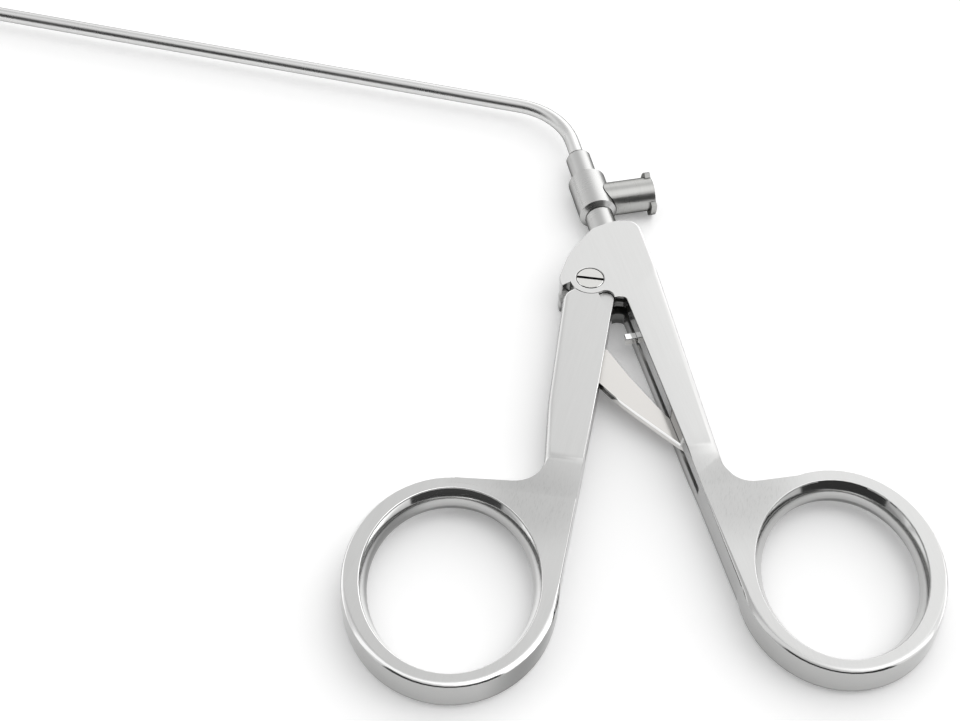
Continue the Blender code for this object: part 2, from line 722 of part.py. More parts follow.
def link_slot():
    """Slot in the inner side of the moving shank that the spring link swings into."""
    height = LINK_THICKNESS / 2 + RUNNING_GAP
    x, y = LINK_PIVOT
    right = MOVING_INNER_MID + 0.002
    left = x - hypot(LINK_EYE_RADIUS, LINK_DROP) - RUNNING_GAP
    above = y + LINK_ROOT_UP + LINK_EYE_RADIUS
    below = y - LINK_EYE_RADIUS - LINK_DROP
    outline = [(right, above), (right, -LINK_SLOT_END), (MOVING_INNER_MID, -LINK_SLOT_END),
               (left + 0.0010, below - 0.0060), (left, below), (left, y + LINK_EYE_RADIUS),
               (left + 0.0012, above)]
    return plate("link_slot", outline, MID_Z - height, MID_Z + height)


def pivot_screw(material):
    """Flush screw with a straight slot; its shank ends in the lower cheek."""
    head, shank = SCREW_HEAD_DIAMETER / 2, SCREW_SHANK_DIAMETER / 2
    top = PLATE_THICKNESS - 0.00002
    under = PLATE_THICKNESS - SCREW_HEAD_HEIGHT
    end = SCREW_FLOOR + FIT
    edge = 0.00008
    profile = [(0, top), (head - edge, top), (head, top - edge), (head, under), (shank, under),
               (shank, end + 0.0003), (shank - 0.0003, end), (0, end)]
    item = turned("pivot_screw", profile, (0, 0, 0), (0, 0, 1), material, 48)
    bm = bmesh.new()
    bmesh.ops.create_cube(bm, size=1.0)
    bmesh.ops.scale(bm, vec=(0.008, SCREW_SLOT_WIDTH, 2 * SCREW_SLOT_DEPTH), verts=bm.verts)
    mesh = bpy.data.meshes.new("screw_slot")
    bm.to_mesh(mesh)
    bm.free()
    tool = turn_and_place(add_object("screw_slot", mesh), radians(SCREW_SLOT_TURN), (0, 0, top))
    combine(item, tool)
    return item


def spring_link(material):
    """Flat crescent that swings in the moving shank and slides in the fixed shank."""
    turn = radians(LINK_ANGLE)
    eye, end = LINK_EYE_RADIUS, LINK_LENGTH
    corners = [
        (-eye, -LINK_DROP * 0.85, eye * 0.8, 0.0001),
        (end * 0.42, -LINK_DROP, 0.045, 0.0003),
        (end - LINK_TIP_RADIUS, -LINK_DROP * 0.15, 0.0020, 0.0003),
        (end + LINK_TIP_RADIUS * 0.1, LINK_DROP * 0.05, LINK_TIP_RADIUS, 0.0001),
        (end - LINK_TIP_RADIUS * 0.4, LINK_TIP_UP, LINK_TIP_RADIUS, 0.0001),
        (end * 0.70, LINK_TIP_UP, 0.030, 0.0001),
        (end * 0.28, LINK_ROOT_UP * 0.75, 0.040, 0.0001),
        (-eye * 0.6, LINK_ROOT_UP + 0.0002, 0.0012, 0.0001),
    ]
    outline, widths = rounded_outline(corners)
    half = LINK_THICKNESS / 2
    item = plate("spring_link", outline, -half, half, material, widths, 1)
    turn_and_place(item, turn, (*LINK_PIVOT, MID_Z))
    x, y = LINK_PIVOT
    combine(item, cylinder("link_eye", (x, y, 0), (x, y, PLATE_THICKNESS),
                           LINK_PIN_DIAMETER + 2 * RUNNING_GAP, sides=24))
    return item


def link_pin(material):
    x, y = LINK_PIVOT
    return cylinder("link_pin", (x, y, 0.0001), (x, y, PLATE_THICKNESS - BLIND_COVER - FIT),
                    LINK_PIN_DIAMETER, material, 20)


def leaf_spring(material):
    """Flat leaf on the channel's floor."""
    start = LEAF_START
    end = CHANNEL_END - CHANNEL_RUNOUT - LEAF_END_GAP
    floor = CHANNEL_DEPTH - FIT
    outline = [(inner_edge(start) + floor, -start), (inner_edge(end) + floor, -end),
               (inner_edge(end) + floor - LEAF_THICKNESS, -end),
               (inner_edge(start) + floor - LEAF_THICKNESS, -start)]
    half = LEAF_WIDTH / 2
    item = plate("leaf_spring", outline, MID_Z - half, MID_Z + half, material)
    return turn_and_place(item, NECK_TURN)


def stop_block(material):
    """Block that clamps the leaf; its nose stands out of the channel into the throat."""
    first, last = LEAF_START, LEAF_START + STOP_LENGTH
    nose = first + STOP_NOSE_WIDTH
    back = CHANNEL_DEPTH - LEAF_THICKNESS - 2 * FIT
    corners = [(inner_edge(first) - STOP_NOSE_REACH, -first, 0.0002, 0.0001),
               (inner_edge(first) + back, -first, 0, 0.0001),
               (inner_edge(last) + back, -last, 0, 0.0001),
               (inner_edge(last) + back * 0.2, -last, 0.0003, 0.0001),
               (inner_edge(nose) + back * 0.1, -nose, 0.0003, 0.0001),
               (inner_edge(nose) - STOP_NOSE_REACH, -nose, 0.0002, 0.0001)]
    outline, widths = rounded_outline(corners, radians(30))
    half = LEAF_WIDTH / 2
    item = plate("stop_block", outline, MID_Z - half, MID_Z + half, material, widths, 1)
    turn_and_place(item, NECK_TURN)
    spot = leaf_pin_spot()
    combine(item, cylinder("stop_bore", spot, spot + Vector((0, 0, PLATE_THICKNESS)),
                           LEAF_PIN_DIAMETER + 2 * FIT, sides=20))
    return item


def leaf_spring_pin(material):
    spot = leaf_pin_spot()
    return cylinder("leaf_spring_pin", spot + Vector((0, 0, 0.0001)),
                    spot + Vector((0, 0, PLATE_THICKNESS - BLIND_COVER - FIT)),
                    LEAF_PIN_DIAMETER, material, 20)


def neck_point(along):
    return ROD_FOOT + ALONG * along


def neck_collar(material):
    """Threaded neck: a spigot in the head and the collar under the flushing body."""
    spigot, collar = NECK_SPIGOT_DIAMETER / 2, COLLAR_DIAMETER / 2
    bore = ROD_DIAMETER / 2 + 2 * RUNNING_GAP
    neck = NECK_SPIGOT_DIAMETER / 2
    top = COLLAR_LENGTH + GLAND_LENGTH + SEAL_LENGTH
    profile = [(bore, top - SEAL_LENGTH), (neck - 0.0002, top - SEAL_LENGTH),
               (neck, top - SEAL_LENGTH - 0.0002), (neck, COLLAR_LENGTH - FIT),
               (collar - 0.00015, COLLAR_LENGTH - FIT), (collar, COLLAR_LENGTH - FIT - 0.00015),
               (collar, FIT + 0.00015), (collar - 0.00015, FIT), (spigot, FIT),
               (spigot, -NECK_SPIGOT_LENGTH), (bore, -NECK_SPIGOT_LENGTH)]
    return turned("neck_collar", profile, neck_point(HEAD_LENGTH), ALONG, material, 32, True)


def rod_seal(material):
    """Seal ring round the drive rod, between the neck and the chamber."""
    outer = NECK_SPIGOT_DIAMETER / 2 - FIT
    inner = ROD_DIAMETER / 2 + FIT
    start = GLAND_LENGTH + FIT
    end = start + SEAL_LENGTH - 2 * FIT
    middle = (outer - inner) / 2
    profile = [(inner, end - middle * 0.4), (inner + middle * 0.3, end), (outer - middle * 0.3, end),
               (outer, end - middle * 0.4), (outer, start + middle * 0.4),
               (outer - middle * 0.3, start), (inner + middle * 0.3, start),
               (inner, start + middle * 0.4)]
    return turned("rod_seal", profile, neck_point(BODY_START), ALONG, material, 24, True)


def flushing_body(material):
    """Turned body with the stepped ferrule for the tube and the flushing chamber."""
    outer, ferrule = BODY_DIAMETER / 2, FERRULE_DIAMETER / 2
    chamber, neck = CHAMBER_DIAMETER / 2, NECK_SPIGOT_DIAMETER / 2 + FIT
    tube = TUBE_DIAMETER / 2 + FIT
    top = BODY_LENGTH + FERRULE_LENGTH
    seat = top - FERRULE_SOCKET
    way = TUBE_BORE / 2
    step = GLAND_LENGTH + SEAL_LENGTH
    small = BODY_CHAMFER * 0.5
    rim = 0.00012
    cone = BODY_REAR_CONE
    profile = [(tube, top), (ferrule - small, top), (ferrule, top - small * 1.5),
               (ferrule, BODY_LENGTH), (outer - BODY_CHAMFER, BODY_LENGTH),
               (outer, BODY_LENGTH - BODY_CHAMFER), (outer, cone + rim), (outer - rim, cone),
               (COLLAR_DIAMETER / 2, 0), (neck, 0), (neck, step), (chamber, step),
               (chamber, BODY_LENGTH - 0.0014), (way, BODY_LENGTH - 0.0014), (way, seat),
               (tube, seat)]
    item = turned("flushing_body", profile, neck_point(BODY_START), ALONG, material, 40, True)
    start = neck_point(BODY_START + PORT_AT)
    combine(item, cylinder("port_drilling", start, start + ACROSS * BODY_DIAMETER,
                           PORT_DRILLING, sides=20))
    return item


def side_port(material):
    """Side connector with a tapered mouth and two locking lugs."""
    start = neck_point(BODY_START + PORT_AT)
    outer = PORT_DIAMETER / 2
    mouth = PORT_MOUTH / 2
    narrow = mouth - PORT_TAPER_DEPTH * 0.03
    drilling = PORT_DRILLING / 2
    profile = [(mouth, PORT_REACH), (outer - 0.0001, PORT_REACH), (outer, PORT_REACH - 0.0001),
               (outer, 0.0012), (drilling, 0.0012), (drilling, PORT_REACH - PORT_TAPER_DEPTH),
               (narrow, PORT_REACH - PORT_TAPER_DEPTH)]
    item = turned("side_port", profile, start, ACROSS, material, 40, True)
    for name, turn in (("lug_one", 0.0), ("lug_two", 180.0)):
        combine(item, lug(name, start, turn), "UNION")
    saddle = cylinder("port_saddle", neck_point(BODY_START - 0.002), neck_point(BODY_END + 0.006),
                      BODY_DIAMETER + 2 * FIT, sides=48)
    combine(item, saddle)
    return item


def lug(name, start, turn):
    """One locking lug of the side port, with a sloped rear face."""
    half = radians(LUG_SPAN / 2)
    facing = radians(LUG_TURN + turn)
    outer, inner = LUG_DIAMETER / 2, PORT_DIAMETER / 2 - 0.0003
    outline = arc_points((0, 0), outer, facing - half * 0.8, facing + half * 0.8, 10)
    outline += arc_points((0, 0), inner, facing + half, facing - half, 10)
    item = plate(name, outline, PORT_REACH - LUG_THICKNESS, PORT_REACH)
    item.location = start
    item.rotation_mode = "QUATERNION"
    item.rotation_quaternion = ACROSS.to_track_quat("Z", "Y")
    return item


def bend_points(first, last, count):
    """Points on the bend's centre line, angles in radians from the neck side."""
    points = []
    for i in range(count + 1):
        angle = first + (last - first) * i / count
        points.append(BEND_CENTRE + ACROSS * BEND_RADIUS * cos(angle)
                      + ALONG * BEND_RADIUS * sin(angle))
    return points


def shaft_line(start, end_x, count=14):
    """Centre line of the shaft from the neck to a place on the straight part."""
    line = [neck_point(start), neck_point((start + BEND_START) / 2)]
    line += bend_points(0.0, BEND_ANGLE, count)
    return line + [Vector((end_x, SHAFT_LINE_Y, MID_Z))]


def outer_tube(material):
    """Bent tube with two long slots for the sleeve's pin near its end."""
    start = BODY_END + FERRULE_LENGTH - FERRULE_SOCKET + FIT
    item = pipe("outer_tube", shaft_line(start, TUBE_END_X), TUBE_DIAMETER, material, 20)
    bore = pipe("tube_bore", shaft_line(start - 0.002, TUBE_END_X - 0.002), TUBE_BORE, sides=16)
    combine(item, bore)
    front = sleeve_pin_x() - STROKE - 2 * RUNNING_GAP - SLEEVE_PIN_DIAMETER / 2
    back = sleeve_pin_x() + 2 * RUNNING_GAP + SLEEVE_PIN_DIAMETER / 2
    width = SLEEVE_PIN_DIAMETER + 2 * RUNNING_GAP
    radius = width / 2
    outline = arc_points((back - radius, SHAFT_LINE_Y), radius, -pi / 2, pi / 2, 8)
    outline += arc_points((front + radius, SHAFT_LINE_Y), radius, pi / 2, 3 * pi / 2, 8)
    combine(item, plate("pin_slots", outline, MID_Z - TUBE_DIAMETER, MID_Z + TUBE_DIAMETER))
    return item


def sleeve_pin_x():
    return TUBE_END_X + ANVIL_PLUG_LENGTH + STROKE + 0.0022


def drive_rod_rear(material):
    """Push rod along the neck, with the ball that the tang drives."""
    ball, rod = ROD_BALL_DIAMETER / 2, ROD_DIAMETER / 2
    end = BEND_START - STROKE - RUNNING_GAP
    start = -asin_of(rod / ball)
    profile = [(0, end), (rod - 0.0001, end), (rod, end - 0.0001), (rod, ball * cos(start))]
    steps = 10
    for i in range(1, steps + 1):
        angle = -start + (pi + start) * i / steps
        profile.append((ball * sin(angle) if i < steps else 0, ball * cos(angle)))
    return turned("drive_rod_rear", profile, ROD_FOOT, ALONG, material, 24)


def asin_of(value):
    return atan2(value, sqrt(1 - value * value))


def crimp(name, start, direction, material):
    """Crimp sleeve that joins rod and cable."""
    outer, inner = CRIMP_DIAMETER / 2, ROD_DIAMETER / 2 + FIT / 2
    profile = [(inner, CRIMP_LENGTH), (outer - 0.0001, CRIMP_LENGTH),
               (outer, CRIMP_LENGTH - 0.0001), (outer, CRIMP_LENGTH * 0.6),
               (outer - 0.00008, CRIMP_LENGTH * 0.5), (outer, CRIMP_LENGTH * 0.4),
               (outer, 0.0001), (outer - 0.0001, 0), (inner, 0)]
    return turned(name, profile, start, direction, material, 24, True)


def drive_cable(material):
    """Flexible part of the drive inside the bend."""
    swing = STROKE / BEND_RADIUS
    margin = radians(SWING_MARGIN)
    points = bend_points(margin, BEND_ANGLE - swing - margin, 12)
    item = pipe("drive_cable", [p - BEND_CENTRE for p in points], CABLE_DIAMETER, material, 10)
    item.location = BEND_CENTRE
    return item


def drive_rod_front(material):
    """Push rod along the straight shaft, cross-drilled for the sleeve's pin."""
    start = Vector((SHAFT_START.x - RUNNING_GAP, SHAFT_LINE_Y, MID_Z))
    length = start.x - (sleeve_pin_x() - SLEEVE_PIN_DIAMETER / 2 - 0.0006)
    thin, thick = ROD_DIAMETER / 2, FRONT_ROD_DIAMETER / 2
    neck = CRIMP_LENGTH + 0.0024
    profile = [(0, length), (thick - 0.0001, length), (thick, length - 0.0001),
               (thick, neck + 0.0004), (thin, neck), (thin, 0), (0, 0)]
    item = turned("drive_rod_front", profile, start, (-1, 0, 0), material, 22)
    x = sleeve_pin_x()
    combine(item, cylinder("rod_cross_bore", (x, SHAFT_LINE_Y, MID_Z - 0.002),
                           (x, SHAFT_LINE_Y, MID_Z + 0.002), SLEEVE_PIN_DIAMETER + FIT, sides=20))
    return item


def cutter_sleeve(material):
    """Sliding tube over the shaft with the circular cutting edge."""
    outer = PUNCH_DIAMETER / 2
    slide = TUBE_DIAMETER / 2 + RUNNING_GAP
    front = TUBE_END_X - SLEEVE_OVERHANG
    edge = 0.0009
    profile = [(outer - 0.00012, SLEEVE_LENGTH), (outer, SLEEVE_LENGTH - edge), (outer, 0.0005),
               (outer - 0.0003, 0), (slide, 0), (slide, SLEEVE_LENGTH - edge),
               (outer - 0.00022, SLEEVE_LENGTH)]
    start = Vector((front + SLEEVE_LENGTH, SHAFT_LINE_Y, MID_Z))
    item = turned("cutter_sleeve", profile, start, (-1, 0, 0), material, 32, True)
    x = sleeve_pin_x()
    combine(item, cylinder("sleeve_cross_bore", (x, SHAFT_LINE_Y, MID_Z - 0.003),
                           (x, SHAFT_LINE_Y, MID_Z + 0.003), SLEEVE_PIN_DIAMETER + FIT, sides=20))
    return item


def sleeve_pin(material):
    half = PUNCH_DIAMETER / 2 - 0.0001
    x = sleeve_pin_x()
    return cylinder("sleeve_pin", (x, SHAFT_LINE_Y, MID_Z - half), (x, SHAFT_LINE_Y, MID_Z + half),
                    SLEEVE_PIN_DIAMETER, material, 20)


def punch_anvil(material):
    """Mushroom that the sleeve cuts against, on a stem with a plug in the tube's end."""
    head, stem = PUNCH_DIAMETER / 2, ANVIL_STEM_DIAMETER / 2
    plug = TUBE_BORE / 2 - FIT
    gap = SLEEVE_OVERHANG + STROKE + CUT_GAP
    profile = [(0, gap + ANVIL_RIM + ANVIL_DOME)]
    for i in range(1, 7):
        angle = pi / 2 * i / 6
        profile.append((head * sin(angle), gap + ANVIL_RIM + ANVIL_DOME * cos(angle)))
    profile += [(head, gap), (stem + 0.0003, gap), (stem, gap - 0.0003), (stem, 0.0003),
                (stem + 0.0003, 0), (plug, 0), (plug, -ANVIL_PLUG_LENGTH),
                (0, -ANVIL_PLUG_LENGTH)]
    return turned("punch_anvil", profile, (TUBE_END_X, SHAFT_LINE_Y, MID_Z), (-1, 0, 0),
                  material, 28)


def build():
    satin = steel("satin_steel", (0.62, 0.62, 0.615), 0.30)
    polished = steel("polished_steel", (0.66, 0.66, 0.655), 0.14)
    bright = steel("spring_steel", (0.70, 0.69, 0.67), 0.20)
    seal = rubber("seal_rubber", (0.60, 0.58, 0.54))
    fixed_handle(satin)
    moving_handle(satin)
    pivot_screw(bright)
    spring_link(bright)
    link_pin(bright)
    leaf_spring(bright)
    stop_block(bright)
    leaf_spring_pin(bright)
    neck_collar(polished)
    flushing_body(polished)
    side_port(polished)
    rod_seal(seal)
    outer_tube(polished)
    drive_rod_rear(bright)
    crimp("rear_crimp", neck_point(BEND_START - STROKE - 0.0012 - CRIMP_LENGTH), ALONG, bright)
    drive_cable(bright)
    crimp("front_crimp", Vector((SHAFT_START.x - 0.0012, SHAFT_LINE_Y, MID_Z)), (-1, 0, 0), bright)
    drive_rod_front(bright)
    cutter_sleeve(polished)
    sleeve_pin(bright)
    punch_anvil(polished)


build()
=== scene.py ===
import bmesh
import bpy
import json
import numpy as np
from math import radians, sin, cos, pi
from mathutils import Matrix, Vector


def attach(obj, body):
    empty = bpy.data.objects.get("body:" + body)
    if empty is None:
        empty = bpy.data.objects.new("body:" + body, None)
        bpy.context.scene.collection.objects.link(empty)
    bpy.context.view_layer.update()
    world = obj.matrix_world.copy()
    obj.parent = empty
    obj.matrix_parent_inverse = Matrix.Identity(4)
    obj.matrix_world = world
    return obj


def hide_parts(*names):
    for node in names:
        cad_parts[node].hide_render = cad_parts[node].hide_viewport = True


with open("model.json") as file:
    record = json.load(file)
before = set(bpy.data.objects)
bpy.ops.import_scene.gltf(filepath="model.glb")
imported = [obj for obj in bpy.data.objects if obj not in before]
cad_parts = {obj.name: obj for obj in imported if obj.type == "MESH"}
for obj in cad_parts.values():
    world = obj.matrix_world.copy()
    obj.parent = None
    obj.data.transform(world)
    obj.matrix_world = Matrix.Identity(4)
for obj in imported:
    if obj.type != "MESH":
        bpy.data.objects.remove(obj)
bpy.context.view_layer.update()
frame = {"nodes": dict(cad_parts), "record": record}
nodes = frame["nodes"]
print("frame loaded:", len(nodes), "nodes")

# Camera at the photograph's angle

cameraSettings = {
    "azimuth": 11.872,      # degrees, turned from +Y towards -X
    "elevation": 48.5,
    "roll": 2.0,
    "distance": 0.3729,     # metres to the point in the picture's middle
    "lens": 82.5,
    "target": (-0.014271, -0.023699, 0.007),
}


def makeCamera(s):
    a, e = radians(s["azimuth"]), radians(s["elevation"])
    back = Vector((sin(a) * cos(e), -cos(a) * cos(e), sin(e)))
    data = bpy.data.cameras.new("photoCamera")
    data.lens = s["lens"]
    data.sensor_width = 36
    data.clip_start = 0.01
    camera = bpy.data.objects.new("photoCamera", data)
    bpy.context.scene.collection.objects.link(camera)
    turn = (-back).to_track_quat("-Z", "Y").to_matrix().to_4x4()
    place = Matrix.Translation(Vector(s["target"]) + back * s["distance"])
    camera.matrix_world = place @ turn @ Matrix.Rotation(radians(s["roll"]), 4, "Z")
    bpy.context.scene.camera = camera


makeCamera(cameraSettings)
print("camera made")

# Small helpers for node trees


def addNode(tree, kind, place=(0, 0), **values):
    node = tree.nodes.new(kind)
    node.location = place
    for key, value in values.items():
        setattr(node, key, value)
    return node


def join(tree, source, target):
    tree.links.new(source, target)


def mathNode(tree, operation, first, second=None, place=(0, 0), clamp=False):
    node = addNode(tree, "ShaderNodeMath", place, operation=operation, use_clamp=clamp)
    for socket, value in zip(node.inputs, (first, second)):
        if value is None:
            continue
        if isinstance(value, (int, float)):
            socket.default_value = value
        else:
            join(tree, value, socket)
    return node.outputs[0]


def plusShare(tree, mask, amount, base, place=(0, 0)):
    # base + amount * mask
    node = addNode(tree, "ShaderNodeMath", place, operation="MULTIPLY_ADD")
    join(tree, mask, node.inputs[0])
    node.inputs[1].default_value = amount
    if isinstance(base, (int, float)):
        node.inputs[2].default_value = base
    else:
        join(tree, base, node.inputs[2])
    return node.outputs[0]


def smoothRange(tree, value, low, high, outLow=0.0, outHigh=1.0, place=(0, 0)):
    node = addNode(tree, "ShaderNodeMapRange", place, interpolation_type="SMOOTHSTEP")
    join(tree, value, node.inputs["Value"])
    ends = {"From Min": low, "From Max": high, "To Min": outLow, "To Max": outHigh}
    for label, number in ends.items():
        node.inputs[label].default_value = number
    return node.outputs["Result"]


def newGroup(name, inputs, outputs):
    group = bpy.data.node_groups.new(name, "ShaderNodeTree")
    for label, kind, value in inputs:
        socket = group.interface.new_socket(label, in_out="INPUT", socket_type=kind)
        if value is not None:
            socket.default_value = value
    for label, kind in outputs:
        group.interface.new_socket(label, in_out="OUTPUT", socket_type=kind)
    start = addNode(group, "NodeGroupInput", (-900, 0))
    end = addNode(group, "NodeGroupOutput", (700, 0))
    return group, start, end


def useGroup(tree, group, place, **values):
    node = addNode(tree, "ShaderNodeGroup", place)
    node.node_tree = group
    for label, value in values.items():
        socket = node.inputs[label]
        if isinstance(value, bpy.types.NodeSocket):
            join(tree, value, socket)
        else:
            socket.default_value = value
    return node


# Studio: a white room, a dark opening low behind the camera, and more light from the right

roomSettings = {
    # radiance by angle in the camera's plane: 0 is low behind the camera, 90 overhead, 180 low beyond
    # the object
    "levels": ((0, 0.55), (28, 0.6), (36, 0.9), (60, 0.95), (78, 1.5), (100, 1.5), (110, 1.05),
               (118, 0.95), (127, 1.1), (135, 1.35), (146, 1.6), (165, 1.75), (180, 1.7)),
    "levelTop": 2.0,        # radiance at the top of the curve
    "darkCard": 0.06,       # radiance of the dark opening
    "cardTop": 46.0,        # degrees above the floor
    "cardLeft": -63.0,      # degrees from the camera's side, seen from above
    "cardRight": 56.0,
    "cardSoft": 1.5,
    "leftLevel": 0.84,      # share of the light from the left and from the right
    "rightLevel": 1.50,
    "sideSpan": (-0.30, 0.42),      # left and right: the direction's part to the right
}


def makeRoom(s):
    # strength = curve(angle) * side(right), and darkCard where a ray meets the opening
    world = bpy.data.worlds.new("studioRoom")
    bpy.context.scene.world = world
    world.use_nodes = True
    tree = world.node_tree
    tree.nodes.clear()
    out = addNode(tree, "ShaderNodeOutputWorld", (1100, 0))
    way = addNode(tree, "ShaderNodeTexCoord", (-1300, 0))
    turn = addNode(tree, "ShaderNodeMapping", (-1100, 0))
    turn.inputs["Rotation"].default_value = (0, 0, -radians(cameraSettings["azimuth"]))
    join(tree, way.outputs["Generated"], turn.inputs["Vector"])
    split = addNode(tree, "ShaderNodeSeparateXYZ", (-900, 0))
    join(tree, turn.outputs["Vector"], split.inputs[0])
    right, height = split.outputs["X"], split.outputs["Z"]
    near = mathNode(tree, "MULTIPLY", split.outputs["Y"], -1.0, (-700, -150))
    angle = mathNode(tree, "ARCTAN2", height, near, (-500, 150))
    share = mathNode(tree, "DIVIDE", angle, pi, (-350, 150))
    ramp = addNode(tree, "ShaderNodeFloatCurve", (-150, 300))
    join(tree, share, ramp.inputs["Value"])
    curve = ramp.mapping.curves[0]
    spots = [(degrees / 180, level / s["levelTop"]) for degrees, level in s["levels"]]
    curve.points[0].location, curve.points[1].location = spots[0], spots[-1]
    for spot in spots[1:-1]:
        curve.points.new(*spot)
    for spot in curve.points:
        spot.handle_type = "VECTOR"
    ramp.mapping.update()
    level = mathNode(tree, "MULTIPLY", ramp.outputs["Value"], s["levelTop"], (50, 300))
    side = smoothRange(tree, right, *s["sideSpan"], s["leftLevel"], s["rightLevel"], (50, 500))
    level = mathNode(tree, "MULTIPLY", level, side, (250, 350))
    azimuth = mathNode(tree, "ARCTAN2", right, near, (-500, -150))
    soft = radians(s["cardSoft"])
    low, high = radians(s["cardLeft"]), radians(s["cardRight"])
    left = smoothRange(tree, azimuth, low - soft, low + soft, place=(-150, -50))
    end = smoothRange(tree, azimuth, high - soft, high + soft, 1.0, 0.0, (-150, -300))
    top = radians(s["cardTop"])
    under = smoothRange(tree, height, sin(top - soft), sin(top + soft), 1.0, 0.0, (-150, -550))
    card = mathNode(tree, "MULTIPLY", left, end, (50, -150))
    card = mathNode(tree, "MULTIPLY", card, under, (200, -250))
    mix = addNode(tree, "ShaderNodeMix", (500, 0), data_type="FLOAT")
    join(tree, card, mix.inputs[0])
    join(tree, level, mix.inputs[2])
    mix.inputs[3].default_value = s["darkCard"]
    room = addNode(tree, "ShaderNodeBackground", (700, 0))
    join(tree, mix.outputs[0], room.inputs["Strength"])
    white = addNode(tree, "ShaderNodeBackground", (700, 150))
    rays = addNode(tree, "ShaderNodeLightPath", (700, 400))
    pick = addNode(tree, "ShaderNodeMixShader", (900, 100))
    join(tree, rays.outputs["Is Camera Ray"], pick.inputs[0])
    join(tree, room.outputs[0], pick.inputs[1])
    join(tree, white.outputs[0], pick.inputs[2])
    join(tree, pick.outputs[0], out.inputs["Surface"])


makeRoom(roomSettings)

floorSettings = {
    "colour": 0.95,
    "glow": 0.16,       # its own light to the camera and in reflections, where 1 is white
    "reach": 3.0,       # metres from the middle to each side
}


def makeFloor(s):
    r = s["reach"]
    mesh = bpy.data.meshes.new("paleFloor")
    mesh.from_pydata([(-r, -r, 0), (r, -r, 0), (r, r, 0), (-r, r, 0)], [], [(0, 1, 2, 3)])
    floor = bpy.data.objects.new("paleFloor", mesh)
    bpy.context.scene.collection.objects.link(floor)
    material = bpy.data.materials.new("paleFloor")
    material.use_nodes = True
    tree = material.node_tree
    tree.nodes.clear()
    out = addNode(tree, "ShaderNodeOutputMaterial", (600, 0))
    paper = addNode(tree, "ShaderNodeBsdfDiffuse", (0, 0))
    paper.inputs["Color"].default_value = (s["colour"],) * 3 + (1,)
    rays = addNode(tree, "ShaderNodeLightPath", (-600, -200))
    seen = mathNode(tree, "ADD", rays.outputs["Is Camera Ray"], rays.outputs["Is Glossy Ray"], (-400, -200))
    seen = mathNode(tree, "ADD", seen, rays.outputs["Is Transmission Ray"], (-200, -200), True)
    glow = addNode(tree, "ShaderNodeEmission", (0, -200))
    join(tree, mathNode(tree, "MULTIPLY", seen, s["glow"], (-100, -350)), glow.inputs["Strength"])
    both = addNode(tree, "ShaderNodeAddShader", (300, 0))
    join(tree, paper.outputs[0], both.inputs[0])
    join(tree, glow.outputs[0], both.inputs[1])
    join(tree, both.outputs[0], out.inputs["Surface"])
    mesh.materials.append(material)


makeFloor(floorSettings)
bpy.context.scene.view_settings.view_transform = "Standard"
print("studio made")

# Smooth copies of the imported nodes: the same surfaces with their points joined and their curves shaded round

bodyOf = {node: body for body, members in frame["record"]["behaviour"]["bodies"].items() for node in members}
ringSettings = {
    # centre and half-bores in metres and turn in degrees, as the handles have them; then which square
    # edges are rounded: above a height, before a y, and longer than a length
    "moving_handle": {"centre": (-0.00842, -0.0682), "bore": (0.01443, 0.01790), "turn": 11.5,
                      "edgesFrom": 0.0062, "edgesBefore": -0.03, "longEdge": 0.003},
    "fixed_handle": {"centre": (0.051031, -0.050970), "bore": (0.01383, 0.01749), "turn": 11.5,
                     "edgesFrom": 0.0062, "edgesBefore": 0.1, "longEdge": 0.0},
    "rim": (0.00245, 0.0020),       # width of the ring's face at its sides and ends
    "middle": 0.0035,               # height of the ring's middle
    "half": 0.0028,                 # half its thickness
    "bulge": 0.00134,               # inner wall, out from the face's edge
    "roundness": 1.74,
    "sides": 64,                    # steps of the inner wall round the ring and in height
    "levels": 17,
    "insideShare": 1.0008,          # nearer the ring's middle than this, a point is on the solid's wall
    "outerEdge": 0.00055,           # rounding of the outer rim
    "innerEdge": 0.14,              # the inner rim's share of it
    "squareEdge": 0.22,             # the share of the square edges of the top faces
    "farShare": 0.10,               # the outer rounding's share on the far side
    "nearSpan": (-0.15, 0.60),      # far and near: the cosine of the angle to the camera's side
    "edgeSteps": 4,
    "levelFit": 0.00001,            # how near a point lies to the ring's faces, in metres,
    "shareFit": 0.002,              # and to an ellipse, as a share of it
    "levelUp": 0.98,                # Z of a level face's normal at least, and of a wall's at most
    "wallUp": 0.1,
}
joinSettings = {
    "weld": 0.000004,       # metres within which points are joined
    "flatAngle": 0.5,       # degrees up to which neighbouring faces become one
    "sharpAngle": 32.0,     # degrees from which an edge is shaded sharp
    "flatWeight": 100,      # how far large faces keep their own normals
}


def nodeArrays(name):
    # The node's points as rows of x, y, z, equal ones joined, and its triangles as rows of point numbers
    mesh = nodes[name].data
    points = np.zeros(len(mesh.vertices) * 3)
    mesh.vertices.foreach_get("co", points)
    corners = np.zeros(len(mesh.loops), int)
    mesh.loops.foreach_get("vertex_index", corners)
    spots, same = np.unique(np.round(points.reshape(-1, 3), 7), axis=0, return_inverse=True)
    faces = same.reshape(-1)[corners].reshape(-1, 3)
    return spots, faces[(faces != np.roll(faces, 1, axis=1)).all(axis=1)]


def ringShare(points, ring, extra=(0.0, 0.0)):
    # Length of (across / half-bore, along / half-bore): 1 on the bore's ellipse, or one wider by extra
    turn = radians(ring["turn"])
    x, y = points[:, 0] - ring["centre"][0], points[:, 1] - ring["centre"][1]
    across = (x * cos(turn) + y * sin(turn)) / (ring["bore"][0] + extra[0])
    along = (y * cos(turn) - x * sin(turn)) / (ring["bore"][1] + extra[1])
    return np.hypot(across, along)


